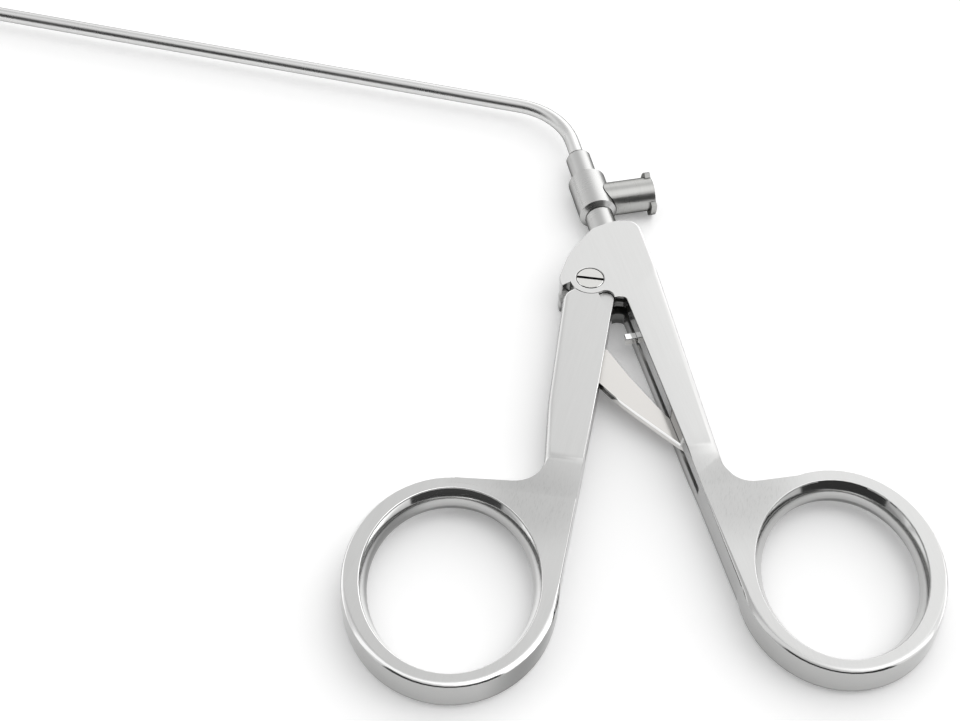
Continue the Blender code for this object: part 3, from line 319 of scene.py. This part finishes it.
def ringWall(ring, s):
    # The bore's ellipse, and at each height a step inwards: bulge * (1 - |height / half| ** roundness)
    angle = np.linspace(0, 2 * pi, s["sides"], endpoint=False)[:, None]
    height = s["half"] * np.cos(np.linspace(0, pi, s["levels"]))[None, :]
    step = s["bulge"] * (1 - np.abs(height / s["half"]) ** s["roundness"])
    way = np.hypot(s["rim"][0] * np.cos(angle), s["rim"][1] * np.sin(angle))
    across = (ring["bore"][0] - step * s["rim"][0] / way) * np.cos(angle)
    along = (ring["bore"][1] - step * s["rim"][1] / way) * np.sin(angle)
    turn = radians(ring["turn"])
    x = ring["centre"][0] + across * cos(turn) - along * sin(turn)
    y = ring["centre"][1] + across * sin(turn) + along * cos(turn)
    points = np.stack((x, y, s["middle"] + height + 0 * angle), axis=2).reshape(-1, 3)
    i, k = np.meshgrid(np.arange(s["sides"]), np.arange(s["levels"] - 1), indexing="ij")
    first, following = i * s["levels"] + k, (i + 1) % s["sides"] * s["levels"] + k
    quads = np.stack((first, first + 1, following + 1, following), axis=2).reshape(-1, 4)
    return points, quads


slotSettings = {
    "turn": 5.9,                    # degrees
    "widen": 1.55,                  # times the width in the solid
    "reach": 0.003,                 # from the pivot to past the slot's ends, metres
    "wallAway": 0.0002,             # the solid's slot walls lie nearer than this to its middle line
    "low": 0.0063,                  # below the slot's floor
    "radius": 0.0022,               # the slot's faces: nearer the pivot than this,
    "halfWidth": 0.0005,            # nearer the middle line than this, and lower than high
    "high": 0.00695,
    # the slot's near-black is painted shade of its depth; dustColour is dust in it
    "paintedSlotShadeColour": (0.030, 0.029, 0.028),
    "dustColour": (0.075, 0.072, 0.068),
    "roughness": 0.6,
}


def widenSlot(points, s):
    # Points of the screw's slot move out from its middle line: their distance to it times widen
    across = np.array((-sin(radians(s["turn"])), cos(radians(s["turn"])), 0.0))
    away = points @ across
    slot = np.hypot(points[:, 0], points[:, 1]) < s["reach"]
    slot &= (np.abs(away) < s["wallAway"]) & (points[:, 2] > s["low"])
    return points + np.where(slot, away * (s["widen"] - 1), 0.0)[:, None] * across


def smoothPiece(node, material, s):
    points, faces = nodeArrays(node)
    if node == "pivot_screw":
        points = widenSlot(points, slotSettings)
    faceList = faces.tolist()
    ring = ringSettings.get(node)
    if ring:
        inside = ringShare(points, ring) < ringSettings["insideShare"]
        faceList = faces[~inside[faces].all(axis=1)].tolist()
        wall, quads = ringWall(ring, ringSettings)
        faceList += (quads + len(points)).tolist()
        points = np.concatenate((points, wall))
    words = node.split("_")
    mesh = bpy.data.meshes.new(words[0] + "".join(w.capitalize() for w in words[1:]))
    mesh.from_pydata(points.tolist(), [], faceList)
    bm = bmesh.new()
    bm.from_mesh(mesh)
    bmesh.ops.remove_doubles(bm, verts=bm.verts, dist=s["weld"])
    loose = [v for v in bm.verts if not v.link_faces]
    bmesh.ops.delete(bm, geom=loose, context="VERTS")
    bmesh.ops.dissolve_limit(bm, angle_limit=radians(s["flatAngle"]), verts=bm.verts, edges=bm.edges)
    bmesh.ops.recalc_face_normals(bm, faces=bm.faces)
    if bm.calc_volume(signed=True) < 0:     # the screw comes out of it inside out
        bmesh.ops.reverse_faces(bm, faces=bm.faces)
    bm.to_mesh(mesh)
    bm.free()
    mesh.polygons.foreach_set("use_smooth", np.ones(len(mesh.polygons), bool))
    mesh.set_sharp_from_angle(angle=radians(s["sharpAngle"]))
    mesh.materials.append(material)
    piece = bpy.data.objects.new(mesh.name, mesh)
    bpy.context.scene.collection.objects.link(piece)
    if ring:
        roundRims(piece, ring, ringSettings)
    level = piece.modifiers.new("flatFaces", "WEIGHTED_NORMAL")
    level.keep_sharp = True
    level.weight = s["flatWeight"]
    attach(piece, bodyOf[node])
    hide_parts(node)
    return piece


def roundRims(piece, ring, s):
    # Bevel weights: the outer rim's grow from farShare to 1 towards the near side, 3 s**2 - 2 s**3;
    # the inner rim and the long square edges take small ones
    mesh = piece.data
    points = np.zeros(len(mesh.vertices) * 3)
    mesh.vertices.foreach_get("co", points)
    points = points.reshape(-1, 3)
    ends = np.zeros(len(mesh.edges) * 2, int)
    mesh.edges.foreach_get("vertices", ends)
    ends = ends.reshape(-1, 2)
    sharp = np.zeros(len(mesh.edges), bool)
    mesh.attributes["sharp_edge"].data.foreach_get("value", sharp)
    level = np.abs(np.abs(points[:, 2] - s["middle"]) - s["half"]) < s["levelFit"]
    outer = level & (np.abs(ringShare(points, ring, s["rim"]) - 1) < s["shareFit"])
    inner = level & (np.abs(ringShare(points, ring) - 1) < s["shareFit"])
    normals = np.zeros(len(mesh.polygons) * 3)
    mesh.polygons.foreach_get("normal", normals)
    sizes = np.zeros(len(mesh.polygons), int)
    mesh.polygons.foreach_get("loop_total", sizes)
    edgeOf = np.zeros(len(mesh.loops), int)
    mesh.loops.foreach_get("edge_index", edgeOf)
    up = np.repeat(normals.reshape(-1, 3)[:, 2], sizes)
    highest, flattest = np.full(len(mesh.edges), -1.0), np.full(len(mesh.edges), 1.0)
    np.maximum.at(highest, edgeOf, up)
    np.minimum.at(flattest, edgeOf, np.abs(up))
    square = (highest > s["levelUp"]) & (flattest < s["wallUp"])
    square &= (points[ends][:, :, 2] > ring["edgesFrom"]).all(axis=1)
    square &= points[ends][:, 0, 1] < ring["edgesBefore"]
    square &= np.linalg.norm(points[ends[:, 0]] - points[ends[:, 1]], axis=1) > ring["longEdge"]
    weight = np.where(square, s["squareEdge"], 0.0)
    away = points[ends].mean(axis=1)[:, :2] - np.array(ring["centre"])
    turn = radians(cameraSettings["azimuth"])
    near = (away @ np.array((sin(turn), -cos(turn)))) / np.linalg.norm(away, axis=1)
    far, close = s["nearSpan"]
    share = np.clip((near - far) / (close - far), 0, 1)
    share = s["farShare"] + (1 - s["farShare"]) * share ** 2 * (3 - 2 * share)
    weight = np.where(outer[ends].all(axis=1) & sharp, share, weight)
    weight = np.where(inner[ends].all(axis=1) & sharp, s["innerEdge"], weight)
    mesh.attributes.new("bevel_weight_edge", "FLOAT", "EDGE").data.foreach_set("value", weight)
    bevel = piece.modifiers.new("roundRims", "BEVEL")
    bevel.limit_method = "WEIGHT"
    bevel.width = s["outerEdge"]
    bevel.segments = s["edgeSteps"]
    bevel.use_clamp_overlap = False     # with it, one tight corner makes every rim's rounding thin


# Shared effects

grainPattern = {"coarseScale": 0.35, "coarseDetail": 3.0, "fineScale": 1.0, "fineDetail": 2.0}


def makeGrainGroup(s):
    # streaks: two noises on coordinates stretched along X, and their mean
    group, start, end = newGroup(
        "brushedGrain",
        [("Vector", "NodeSocketVector", None), ("Length", "NodeSocketFloat", 250.0),
         ("Width", "NodeSocketFloat", 9000.0), ("Roughness", "NodeSocketFloat", 0.3),
         ("Spread", "NodeSocketFloat", 0.1), ("Darken", "NodeSocketFloat", 0.1)],
        [("Height", "NodeSocketFloat"), ("Roughness", "NodeSocketFloat"), ("Shade", "NodeSocketFloat")])
    stretch = addNode(group, "ShaderNodeCombineXYZ", (-700, -200))
    join(group, start.outputs["Length"], stretch.inputs["X"])
    join(group, start.outputs["Width"], stretch.inputs["Y"])
    join(group, start.outputs["Width"], stretch.inputs["Z"])
    scaled = addNode(group, "ShaderNodeVectorMath", (-500, 0), operation="MULTIPLY")
    join(group, start.outputs["Vector"], scaled.inputs[0])
    join(group, stretch.outputs[0], scaled.inputs[1])
    coarse = addNode(group, "ShaderNodeTexNoise", (-300, 100))
    coarse.inputs["Scale"].default_value = s["coarseScale"]
    coarse.inputs["Detail"].default_value = s["coarseDetail"]
    fine = addNode(group, "ShaderNodeTexNoise", (-300, -150))
    fine.inputs["Scale"].default_value = s["fineScale"]
    fine.inputs["Detail"].default_value = s["fineDetail"]
    join(group, scaled.outputs[0], coarse.inputs["Vector"])
    join(group, scaled.outputs[0], fine.inputs["Vector"])
    both = mathNode(group, "ADD", coarse.outputs["Fac"], fine.outputs["Fac"], (-100, 0))
    height = mathNode(group, "MULTIPLY", both, 0.5, (50, 0))
    centred = mathNode(group, "SUBTRACT", height, 0.5, (200, 0))
    spread = mathNode(group, "MULTIPLY", centred, start.outputs["Spread"], (350, -100))
    rough = mathNode(group, "ADD", spread, start.outputs["Roughness"], (500, -100))
    dark = mathNode(group, "MULTIPLY", centred, start.outputs["Darken"], (350, -300))
    shade = mathNode(group, "ADD", dark, 1.0, (500, -300))
    join(group, height, end.inputs["Height"])
    join(group, rough, end.inputs["Roughness"])
    join(group, shade, end.inputs["Shade"])
    return group


formPattern = {"levelSoft": 0.05, "wallSoft": 0.30}      # widths of the masks' soft ends


def makeFormGroup(s):
    # masks by how steep the surface is: 1 on level faces, 1 on walls, and both 0 on bevels and rims
    group, start, end = newGroup(
        "levelAndWall",
        [("Normal", "NodeSocketVector", None), ("Level From", "NodeSocketFloat", 0.94),
         ("Wall From", "NodeSocketFloat", 0.35)],
        [("Level", "NodeSocketFloat"), ("Wall", "NodeSocketFloat")])
    split = addNode(group, "ShaderNodeSeparateXYZ", (-700, 0))
    join(group, start.outputs["Normal"], split.inputs[0])
    up = mathNode(group, "ABSOLUTE", split.outputs["Z"], None, (-500, 0))
    masks = (("Level From", s["levelSoft"], False, 150), ("Wall From", s["wallSoft"], True, -150))
    for label, width, flip, spot in masks:
        limit = mathNode(group, "ADD", start.outputs[label], width, (-400, spot + 80))
        node = addNode(group, "ShaderNodeMapRange", (-200, spot), interpolation_type="SMOOTHSTEP")
        join(group, up, node.inputs["Value"])
        join(group, start.outputs[label], node.inputs["From Min"])
        join(group, limit, node.inputs["From Max"])
        node.inputs["To Min"].default_value, node.inputs["To Max"].default_value = (1, 0) if flip else (0, 1)
        join(group, node.outputs["Result"], end.inputs[label.split()[0]])
    return group


flarePattern = {
    "core": 0.25,               # the patch is whole up to this share of its reach
    "length": 900.0,            # scale along the streaks, across them it is Fineness
    "detail": 2.0,
    "streakSpan": (0.52, 0.72),
}


def makeFlareGroup(s):
    # short grinding streaks along one direction, in a soft patch round a spot; the patch also masks painted
    # shade
    group, start, end = newGroup(
        "flareStreaks",
        [("Vector", "NodeSocketVector", None), ("Spot", "NodeSocketVector", None),
         ("Reach", "NodeSocketFloat", 0.008), ("Fineness", "NodeSocketFloat", 9000.0)],
        [("Streak", "NodeSocketFloat"), ("Patch", "NodeSocketFloat")])
    away = addNode(group, "ShaderNodeVectorMath", (-600, -200), operation="DISTANCE")
    join(group, start.outputs["Vector"], away.inputs[0])
    join(group, start.outputs["Spot"], away.inputs[1])
    share = mathNode(group, "DIVIDE", away.outputs["Value"], start.outputs["Reach"], (-400, -200))
    patch = smoothRange(group, share, s["core"], 1.0, 1.0, 0.0, (-200, -200))
    stretch = addNode(group, "ShaderNodeCombineXYZ", (-600, 200))
    join(group, start.outputs["Fineness"], stretch.inputs["X"])
    stretch.inputs["Y"].default_value = s["length"]
    stretch.inputs["Z"].default_value = s["length"]
    scaled = addNode(group, "ShaderNodeVectorMath", (-400, 200), operation="MULTIPLY")
    join(group, start.outputs["Vector"], scaled.inputs[0])
    join(group, stretch.outputs[0], scaled.inputs[1])
    noise = addNode(group, "ShaderNodeTexNoise", (-200, 200))
    noise.inputs["Scale"].default_value = 1.0
    noise.inputs["Detail"].default_value = s["detail"]
    join(group, scaled.outputs[0], noise.inputs["Vector"])
    line = smoothRange(group, noise.outputs["Fac"], *s["streakSpan"], place=(50, 200))
    join(group, mathNode(group, "MULTIPLY", line, patch, (250, 100)), end.inputs["Streak"])
    join(group, patch, end.inputs["Patch"])
    return group


handlingPattern = {
    "smudgeDetail": 4.0,
    "smudgeSpan": (0.35, 0.68),
    "bendScale": 160.0,         # of the noise that bends the scratches, and how far it does, metres
    "bend": 0.003,
    "scratchWidth": 0.012,
    "scratchSpan": (0.55, 0.66),
}


def makeHandlingGroup(s):
    # soft smudges and a few thin scratches from use and cleaning
    group, start, end = newGroup(
        "handlingMarks",
        [("Vector", "NodeSocketVector", None), ("Smudge Scale", "NodeSocketFloat", 90.0),
         ("Scratch Scale", "NodeSocketFloat", 420.0)],
        [("Smudge", "NodeSocketFloat"), ("Scratch", "NodeSocketFloat")])
    cloud = addNode(group, "ShaderNodeTexNoise", (-500, 100))
    cloud.inputs["Detail"].default_value = s["smudgeDetail"]
    join(group, start.outputs["Vector"], cloud.inputs["Vector"])
    join(group, start.outputs["Smudge Scale"], cloud.inputs["Scale"])
    smudge = smoothRange(group, cloud.outputs["Fac"], *s["smudgeSpan"], place=(-200, 100))
    bent = addNode(group, "ShaderNodeTexNoise", (-700, -200))
    bent.inputs["Scale"].default_value = s["bendScale"]
    join(group, start.outputs["Vector"], bent.inputs["Vector"])
    push = addNode(group, "ShaderNodeVectorMath", (-500, -200), operation="MULTIPLY_ADD")
    join(group, bent.outputs["Color"], push.inputs[0])
    push.inputs[1].default_value = (s["bend"],) * 3
    join(group, start.outputs["Vector"], push.inputs[2])
    web = addNode(group, "ShaderNodeTexVoronoi", (-300, -200), feature="DISTANCE_TO_EDGE")
    join(group, push.outputs[0], web.inputs["Vector"])
    join(group, start.outputs["Scratch Scale"], web.inputs["Scale"])
    line = smoothRange(group, web.outputs["Distance"], 0.0, s["scratchWidth"], 1.0, 0.0, (-100, -200))
    gate = smoothRange(group, bent.outputs["Fac"], *s["scratchSpan"], place=(-100, -450))
    scratch = mathNode(group, "MULTIPLY", line, gate, (150, -250))
    join(group, smudge, end.inputs["Smudge"])
    join(group, scratch, end.inputs["Scratch"])
    return group


grainGroup = makeGrainGroup(grainPattern)
formGroup = makeFormGroup(formPattern)
flareGroup = makeFlareGroup(flarePattern)
handlingGroup = makeHandlingGroup(handlingPattern)
print("shared effects made")

# Steel finishes, some with painted light and shade; colours are linear

handleFinish = {
    "grainTurn": 0.0,                       # direction of the grain, degrees from +X
    "levelColour": (0.60, 0.60, 0.595),     # satin faces
    "wallColour": (0.50, 0.50, 0.495),      # polished walls
    "rimColour": (0.93, 0.93, 0.925),       # burnished bevels and rims, brightened past steel as a painted highlight
    "levelRoughness": 0.34,
    "wallRoughness": 0.09,
    "grainLength": 260.0,
    "grainWidth": 9500.0,
    "grainSpread": 0.14,                    # of the roughness
    "grainDarken": 0.13,
    "grainDepth": 0.22,
    "grainHeight": 0.00001,                 # metres
    "smudge": 0.05,                         # added roughness
    "flareSpot": (0.0, 0.0, 0.0),           # a patch: its middle, reach, ground streaks, and painted shade over it
    "flareReach": 0.00001,
    "flareDarken": 0.12,
    "paintedFlareShade": 0.0,
    "sideSpan": (0.5, 0.9),                 # walls that face +X get painted shade, by X of their normal
    "paintedSideShade": 0.0,
    "underSpan": (-0.40, -0.04),            # roundings that turn under get painted shade, by Z of their normal,
    "bottomSpan": (-0.98, -0.85),           # and the flat underside doesn't
    "paintedUnderShade": 0.6,
    "footSpan": (0.0007, 0.0016),           # painted contact shadow: the foot of a wall is darker, between these heights
    "paintedFootShadow": 0.5,
    "recessSpot": (0.00615, -0.00298, 0.0035),      # painted shade on the walls of the throat
    "recessReach": 0.0065,
    "paintedRecessShade": 0.0,
}


def blendColours(tree, share, first, second, place):
    node = addNode(tree, "ShaderNodeMix", place, data_type="RGBA")
    join(tree, share, node.inputs[0])
    for socket, value in ((node.inputs[6], first), (node.inputs[7], second)):
        if isinstance(value, tuple):
            socket.default_value = (*value, 1)
        else:
            join(tree, value, socket)
    return node.outputs[2]


def multiplyColours(tree, first, second, place, share=1.0):
    # first times second, where share is 1; either is a colour or a socket
    node = addNode(tree, "ShaderNodeMix", place, data_type="RGBA", blend_type="MULTIPLY")
    for socket, value in ((node.inputs[0], share), (node.inputs[6], first), (node.inputs[7], second)):
        if isinstance(value, bpy.types.NodeSocket):
            join(tree, value, socket)
        else:
            socket.default_value = (*value, 1) if isinstance(value, tuple) else value
    return node.outputs[2]


def handleMaterial(name, s):
    # satin faces with a grain along the shank, polished walls, rims partly a painted highlight; painted shade
    # on walls facing +X, on roundings that turn under, at the foot of walls, in the throat and over the flare
    # patch
    material = bpy.data.materials.new(name)
    material.use_nodes = True
    tree = material.node_tree
    shader = tree.nodes["Principled BSDF"]
    shader.inputs["Metallic"].default_value = 1.0
    where = addNode(tree, "ShaderNodeTexCoord", (-1700, 0))
    turned = addNode(tree, "ShaderNodeMapping", (-1500, 0))
    turned.inputs["Rotation"].default_value = (0, 0, radians(-s["grainTurn"]))
    join(tree, where.outputs["Object"], turned.inputs["Vector"])
    form = useGroup(tree, formGroup, (-1200, 400), Normal=where.outputs["Normal"])
    grain = useGroup(tree, grainGroup, (-1200, 100), Vector=turned.outputs["Vector"],
                     Length=s["grainLength"], Width=s["grainWidth"], Roughness=s["levelRoughness"],
                     Spread=s["grainSpread"], Darken=s["grainDarken"])
    marks = useGroup(tree, handlingGroup, (-1200, -250), Vector=where.outputs["Object"])
    flare = useGroup(tree, flareGroup, (-1200, -500), Vector=where.outputs["Object"], Spot=s["flareSpot"],
                     Reach=s["flareReach"])
    wall = plusShare(tree, marks.outputs["Smudge"], s["smudge"], s["wallRoughness"], (-900, -300))
    smear = plusShare(tree, marks.outputs["Smudge"], s["smudge"], grain.outputs["Roughness"], (-900, -100))
    rough = addNode(tree, "ShaderNodeMix", (-600, -150), data_type="FLOAT")
    join(tree, form.outputs["Level"], rough.inputs[0])
    join(tree, wall, rough.inputs[2])
    join(tree, smear, rough.inputs[3])
    join(tree, rough.outputs[0], shader.inputs["Roughness"])
    # rims and bevels take rimColour: burnished, and brightened further as a painted highlight
    plain = blendColours(tree, form.outputs["Level"], s["rimColour"], s["levelColour"], (-900, 500))
    # painted shade on the throat's walls, in a patch round recessSpot
    recess = useGroup(tree, flareGroup, (-1200, 700), Vector=where.outputs["Object"], Spot=s["recessSpot"],
                      Reach=s["recessReach"])
    split = addNode(tree, "ShaderNodeSeparateXYZ", (-1400, 900))
    join(tree, where.outputs["Normal"], split.inputs[0])
    # painted shade on the walls that face +X
    side = smoothRange(tree, split.outputs["X"], *s["sideSpan"], place=(-1200, 900))
    side = plusShare(tree, side, -s["paintedSideShade"], 1.0, (-1000, 900))
    deep = plusShare(tree, recess.outputs["Patch"], -s["paintedRecessShade"], 1.0, (-1000, 700))
    place = addNode(tree, "ShaderNodeSeparateXYZ", (-1400, 1050))
    join(tree, where.outputs["Object"], place.inputs[0])
    # painted contact shadow at the foot of the walls
    foot = smoothRange(tree, place.outputs["Z"], *s["footSpan"], 1.0 - s["paintedFootShadow"], 1.0, (-1200, 1000))
    dim = mathNode(tree, "MULTIPLY", mathNode(tree, "MULTIPLY", side, deep, (-850, 800)), foot, (-700, 850))
    walls = multiplyColours(tree, s["wallColour"], dim, (-800, 650))
    plain = blendColours(tree, form.outputs["Wall"], plain, walls, (-700, 500))
    # painted shade on roundings that turn under, not on the flat underside
    turning = smoothRange(tree, split.outputs["Z"], *s["underSpan"], 1.0, 0.0, (-1200, 1100))
    beneath = smoothRange(tree, split.outputs["Z"], *s["bottomSpan"], place=(-1200, 1250))
    under = mathNode(tree, "MULTIPLY", turning, beneath, (-1000, 1150))
    under = plusShare(tree, under, -s["paintedUnderShade"], 1.0, (-850, 1150))
    plain = multiplyColours(tree, plain, under, (-550, 600))
    streak = plusShare(tree, flare.outputs["Streak"], -s["flareDarken"], 1.0, (-900, 250))
    # painted shade over the flare patch
    soft = plusShare(tree, flare.outputs["Patch"], -s["paintedFlareShade"], 1.0, (-900, 350))
    streak = mathNode(tree, "MULTIPLY", streak, soft, (-800, 300))
    shade = mathNode(tree, "MULTIPLY", grain.outputs["Shade"], streak, (-700, 250))
    tint = multiplyColours(tree, plain, shade, (-450, 300), form.outputs["Level"])
    join(tree, tint, shader.inputs["Base Color"])
    height = mathNode(tree, "MULTIPLY", grain.outputs["Height"], form.outputs["Level"], (-900, -650))
    height = mathNode(tree, "SUBTRACT", height, marks.outputs["Scratch"], (-700, -650))
    bump = addNode(tree, "ShaderNodeBump", (-350, -450))
    bump.inputs["Strength"].default_value = s["grainDepth"]
    bump.inputs["Distance"].default_value = s["grainHeight"]
    join(tree, height, bump.inputs["Height"])
    join(tree, bump.outputs["Normal"], shader.inputs["Normal"])
    return material


polishedFinish = {
    "axisTurn": 0.0,        # direction of the piece's axis, degrees from +X
    "metallic": 1.0,
    "colour": (0.58, 0.58, 0.575),
    "roughness": 0.13,
    "paintedOutlineShade": 0.45,     # painted shade towards the outline
    "edgeSpan": (0.45, 0.92),
    "lineLength": 6000.0,   # fine marks across the axis
    "lineWidth": 60.0,
    "spread": 0.06,         # of the roughness
    "darken": 0.06,
    "depth": 0.12,
    "lineHeight": 0.00001,  # metres
    "smudge": 0.05,         # added roughness
}


def turnedMaterial(name, s):
    # turned steel: fine marks round the axis, which lies along X once turned; the colour darkens towards the
    # outline as painted shade
    material = bpy.data.materials.new(name)
    material.use_nodes = True
    tree = material.node_tree
    shader = tree.nodes["Principled BSDF"]
    shader.inputs["Metallic"].default_value = s["metallic"]
    where = addNode(tree, "ShaderNodeTexCoord", (-1300, 0))
    turned = addNode(tree, "ShaderNodeMapping", (-1100, 0))
    turned.inputs["Rotation"].default_value = (0, 0, radians(-s["axisTurn"]))
    join(tree, where.outputs["Object"], turned.inputs["Vector"])
    grain = useGroup(tree, grainGroup, (-850, 0), Vector=turned.outputs["Vector"],
                     Length=s["lineLength"], Width=s["lineWidth"], Roughness=s["roughness"],
                     Spread=s["spread"], Darken=s["darken"])
    marks = useGroup(tree, handlingGroup, (-850, -350), Vector=where.outputs["Object"])
    rough = plusShare(tree, marks.outputs["Smudge"], s["smudge"], grain.outputs["Roughness"], (-500, -150))
    join(tree, rough, shader.inputs["Roughness"])
    # painted shade: the colour darkens where the surface turns from the camera, towards the outline
    facing = addNode(tree, "ShaderNodeLayerWeight", (-1050, 350))
    outline = smoothRange(tree, facing.outputs["Facing"], *s["edgeSpan"], 1.0, 1.0 - s["paintedOutlineShade"],
                          (-850, 350))
    steel = multiplyColours(tree, s["colour"], outline, (-650, 350))
    join(tree, steel, shader.inputs["Specular Tint"])
    tint = multiplyColours(tree, steel, grain.outputs["Shade"], (-450, 200))
    join(tree, tint, shader.inputs["Base Color"])
    bump = addNode(tree, "ShaderNodeBump", (-250, -450))
    bump.inputs["Strength"].default_value = s["depth"]
    bump.inputs["Distance"].default_value = s["lineHeight"]
    join(tree, grain.outputs["Height"], bump.inputs["Height"])
    join(tree, bump.outputs["Normal"], shader.inputs["Normal"])
    return material


def darkenSlot(piece, s):
    # A second material on the faces of the screw's slot, near-black as painted shade of its depth, with dust
    # mixed in: near its middle line, below the face of the head
    material = bpy.data.materials.new("slotShade")
    material.use_nodes = True
    tree = material.node_tree
    shader = tree.nodes["Principled BSDF"]
    shader.inputs["Metallic"].default_value = 1.0
    where = addNode(tree, "ShaderNodeTexCoord", (-700, 0))
    marks = useGroup(tree, handlingGroup, (-500, 0), Vector=where.outputs["Object"])
    # painted shade of the slot's depth, mixed with dust by the smudges
    dark = blendColours(tree, marks.outputs["Smudge"], s["paintedSlotShadeColour"], s["dustColour"], (-250, 0))
    join(tree, dark, shader.inputs["Base Color"])
    shader.inputs["Roughness"].default_value = s["roughness"]
    mesh = piece.data
    mesh.materials.append(material)
    centres = np.zeros(len(mesh.polygons) * 3)
    mesh.polygons.foreach_get("center", centres)
    x, y, z = centres.reshape(-1, 3).T
    across = np.abs(y * cos(radians(s["turn"])) - x * sin(radians(s["turn"])))
    slot = (across < s["halfWidth"]) & (np.hypot(x, y) < s["radius"]) & (z > s["low"]) & (z < s["high"])
    mesh.polygons.foreach_set("material_index", slot.astype(int))


neckTurn = 115.8            # direction of the neck's axis, degrees from +X
# the fixed handle's satin faces are lighter and its rims dimmer than the moving handle's: painted light and
# shade for the brighter right and dimmer left, beside the room's own light
fixedFinish = dict(
    handleFinish, grainTurn=-62.0, levelColour=(0.612, 0.612, 0.607), rimColour=(0.62, 0.62, 0.615),
    paintedFlareShade=0.17, flareSpot=(0.0325, -0.0400, 0.0066), flareReach=0.014, paintedRecessShade=0.5)
movingFinish = dict(
    handleFinish, grainTurn=-93.0, levelColour=(0.565, 0.565, 0.56), paintedSideShade=0.5,
    paintedFlareShade=0.15, flareSpot=(0.0010, -0.0500, 0.0066), flareReach=0.012)
linkFinish = dict(
    handleFinish, grainTurn=-36.5, levelColour=(0.66, 0.645, 0.625), wallColour=(0.80, 0.79, 0.77),
    levelRoughness=0.17, grainDarken=0.04, grainDepth=0.06)
# the stop block's top is almost white: partly a painted highlight
stopFinish = dict(linkFinish, grainTurn=-64.2, levelColour=(0.95, 0.95, 0.945), levelRoughness=0.10)
screwFinish = dict(
    linkFinish, grainTurn=slotSettings["turn"], levelColour=(0.61, 0.605, 0.59),
    wallColour=(0.50, 0.49, 0.48), levelRoughness=0.22)
neckFinish = dict(polishedFinish, axisTurn=neckTurn, colour=(0.53, 0.53, 0.525), roughness=0.24)
portFinish = dict(
    polishedFinish, axisTurn=neckTurn - 90, colour=(0.44, 0.44, 0.43), roughness=0.28, darken=0.2)
tubeFinish = dict(
    polishedFinish, colour=(0.68, 0.68, 0.675), paintedOutlineShade=0.35, roughness=0.25, lineLength=90.0,
    lineWidth=5000.0)
punchFinish = dict(polishedFinish, roughness=0.15)
sealFinish = dict(
    polishedFinish, axisTurn=neckTurn, metallic=0.0, colour=(0.55, 0.53, 0.50), roughness=0.6)

pieces = {}


def dress(material, *names):
    for name in names:
        pieces[name] = smoothPiece(name, material, joinSettings)


dress(handleMaterial("fixedHandleSteel", fixedFinish), "fixed_handle")
dress(handleMaterial("movingHandleSteel", movingFinish), "moving_handle")
dress(turnedMaterial("neckSteel", neckFinish), "neck_collar", "flushing_body", "drive_rod_rear", "rear_crimp")
dress(turnedMaterial("portSteel", portFinish), "side_port")
dress(turnedMaterial("tubeSteel", tubeFinish), "outer_tube")
dress(turnedMaterial("punchSteel", punchFinish), "cutter_sleeve", "punch_anvil", "sleeve_pin",
      "drive_rod_front", "front_crimp", "drive_cable")
dress(handleMaterial("linkSteel", linkFinish), "spring_link", "leaf_spring", "leaf_spring_pin", "link_pin")
dress(handleMaterial("stopSteel", stopFinish), "stop_block")
dress(handleMaterial("screwSteel", screwFinish), "pivot_screw")
dress(turnedMaterial("sealRubber", sealFinish), "rod_seal")
darkenSlot(pieces["pivot_screw"], slotSettings)
print("finishes given")
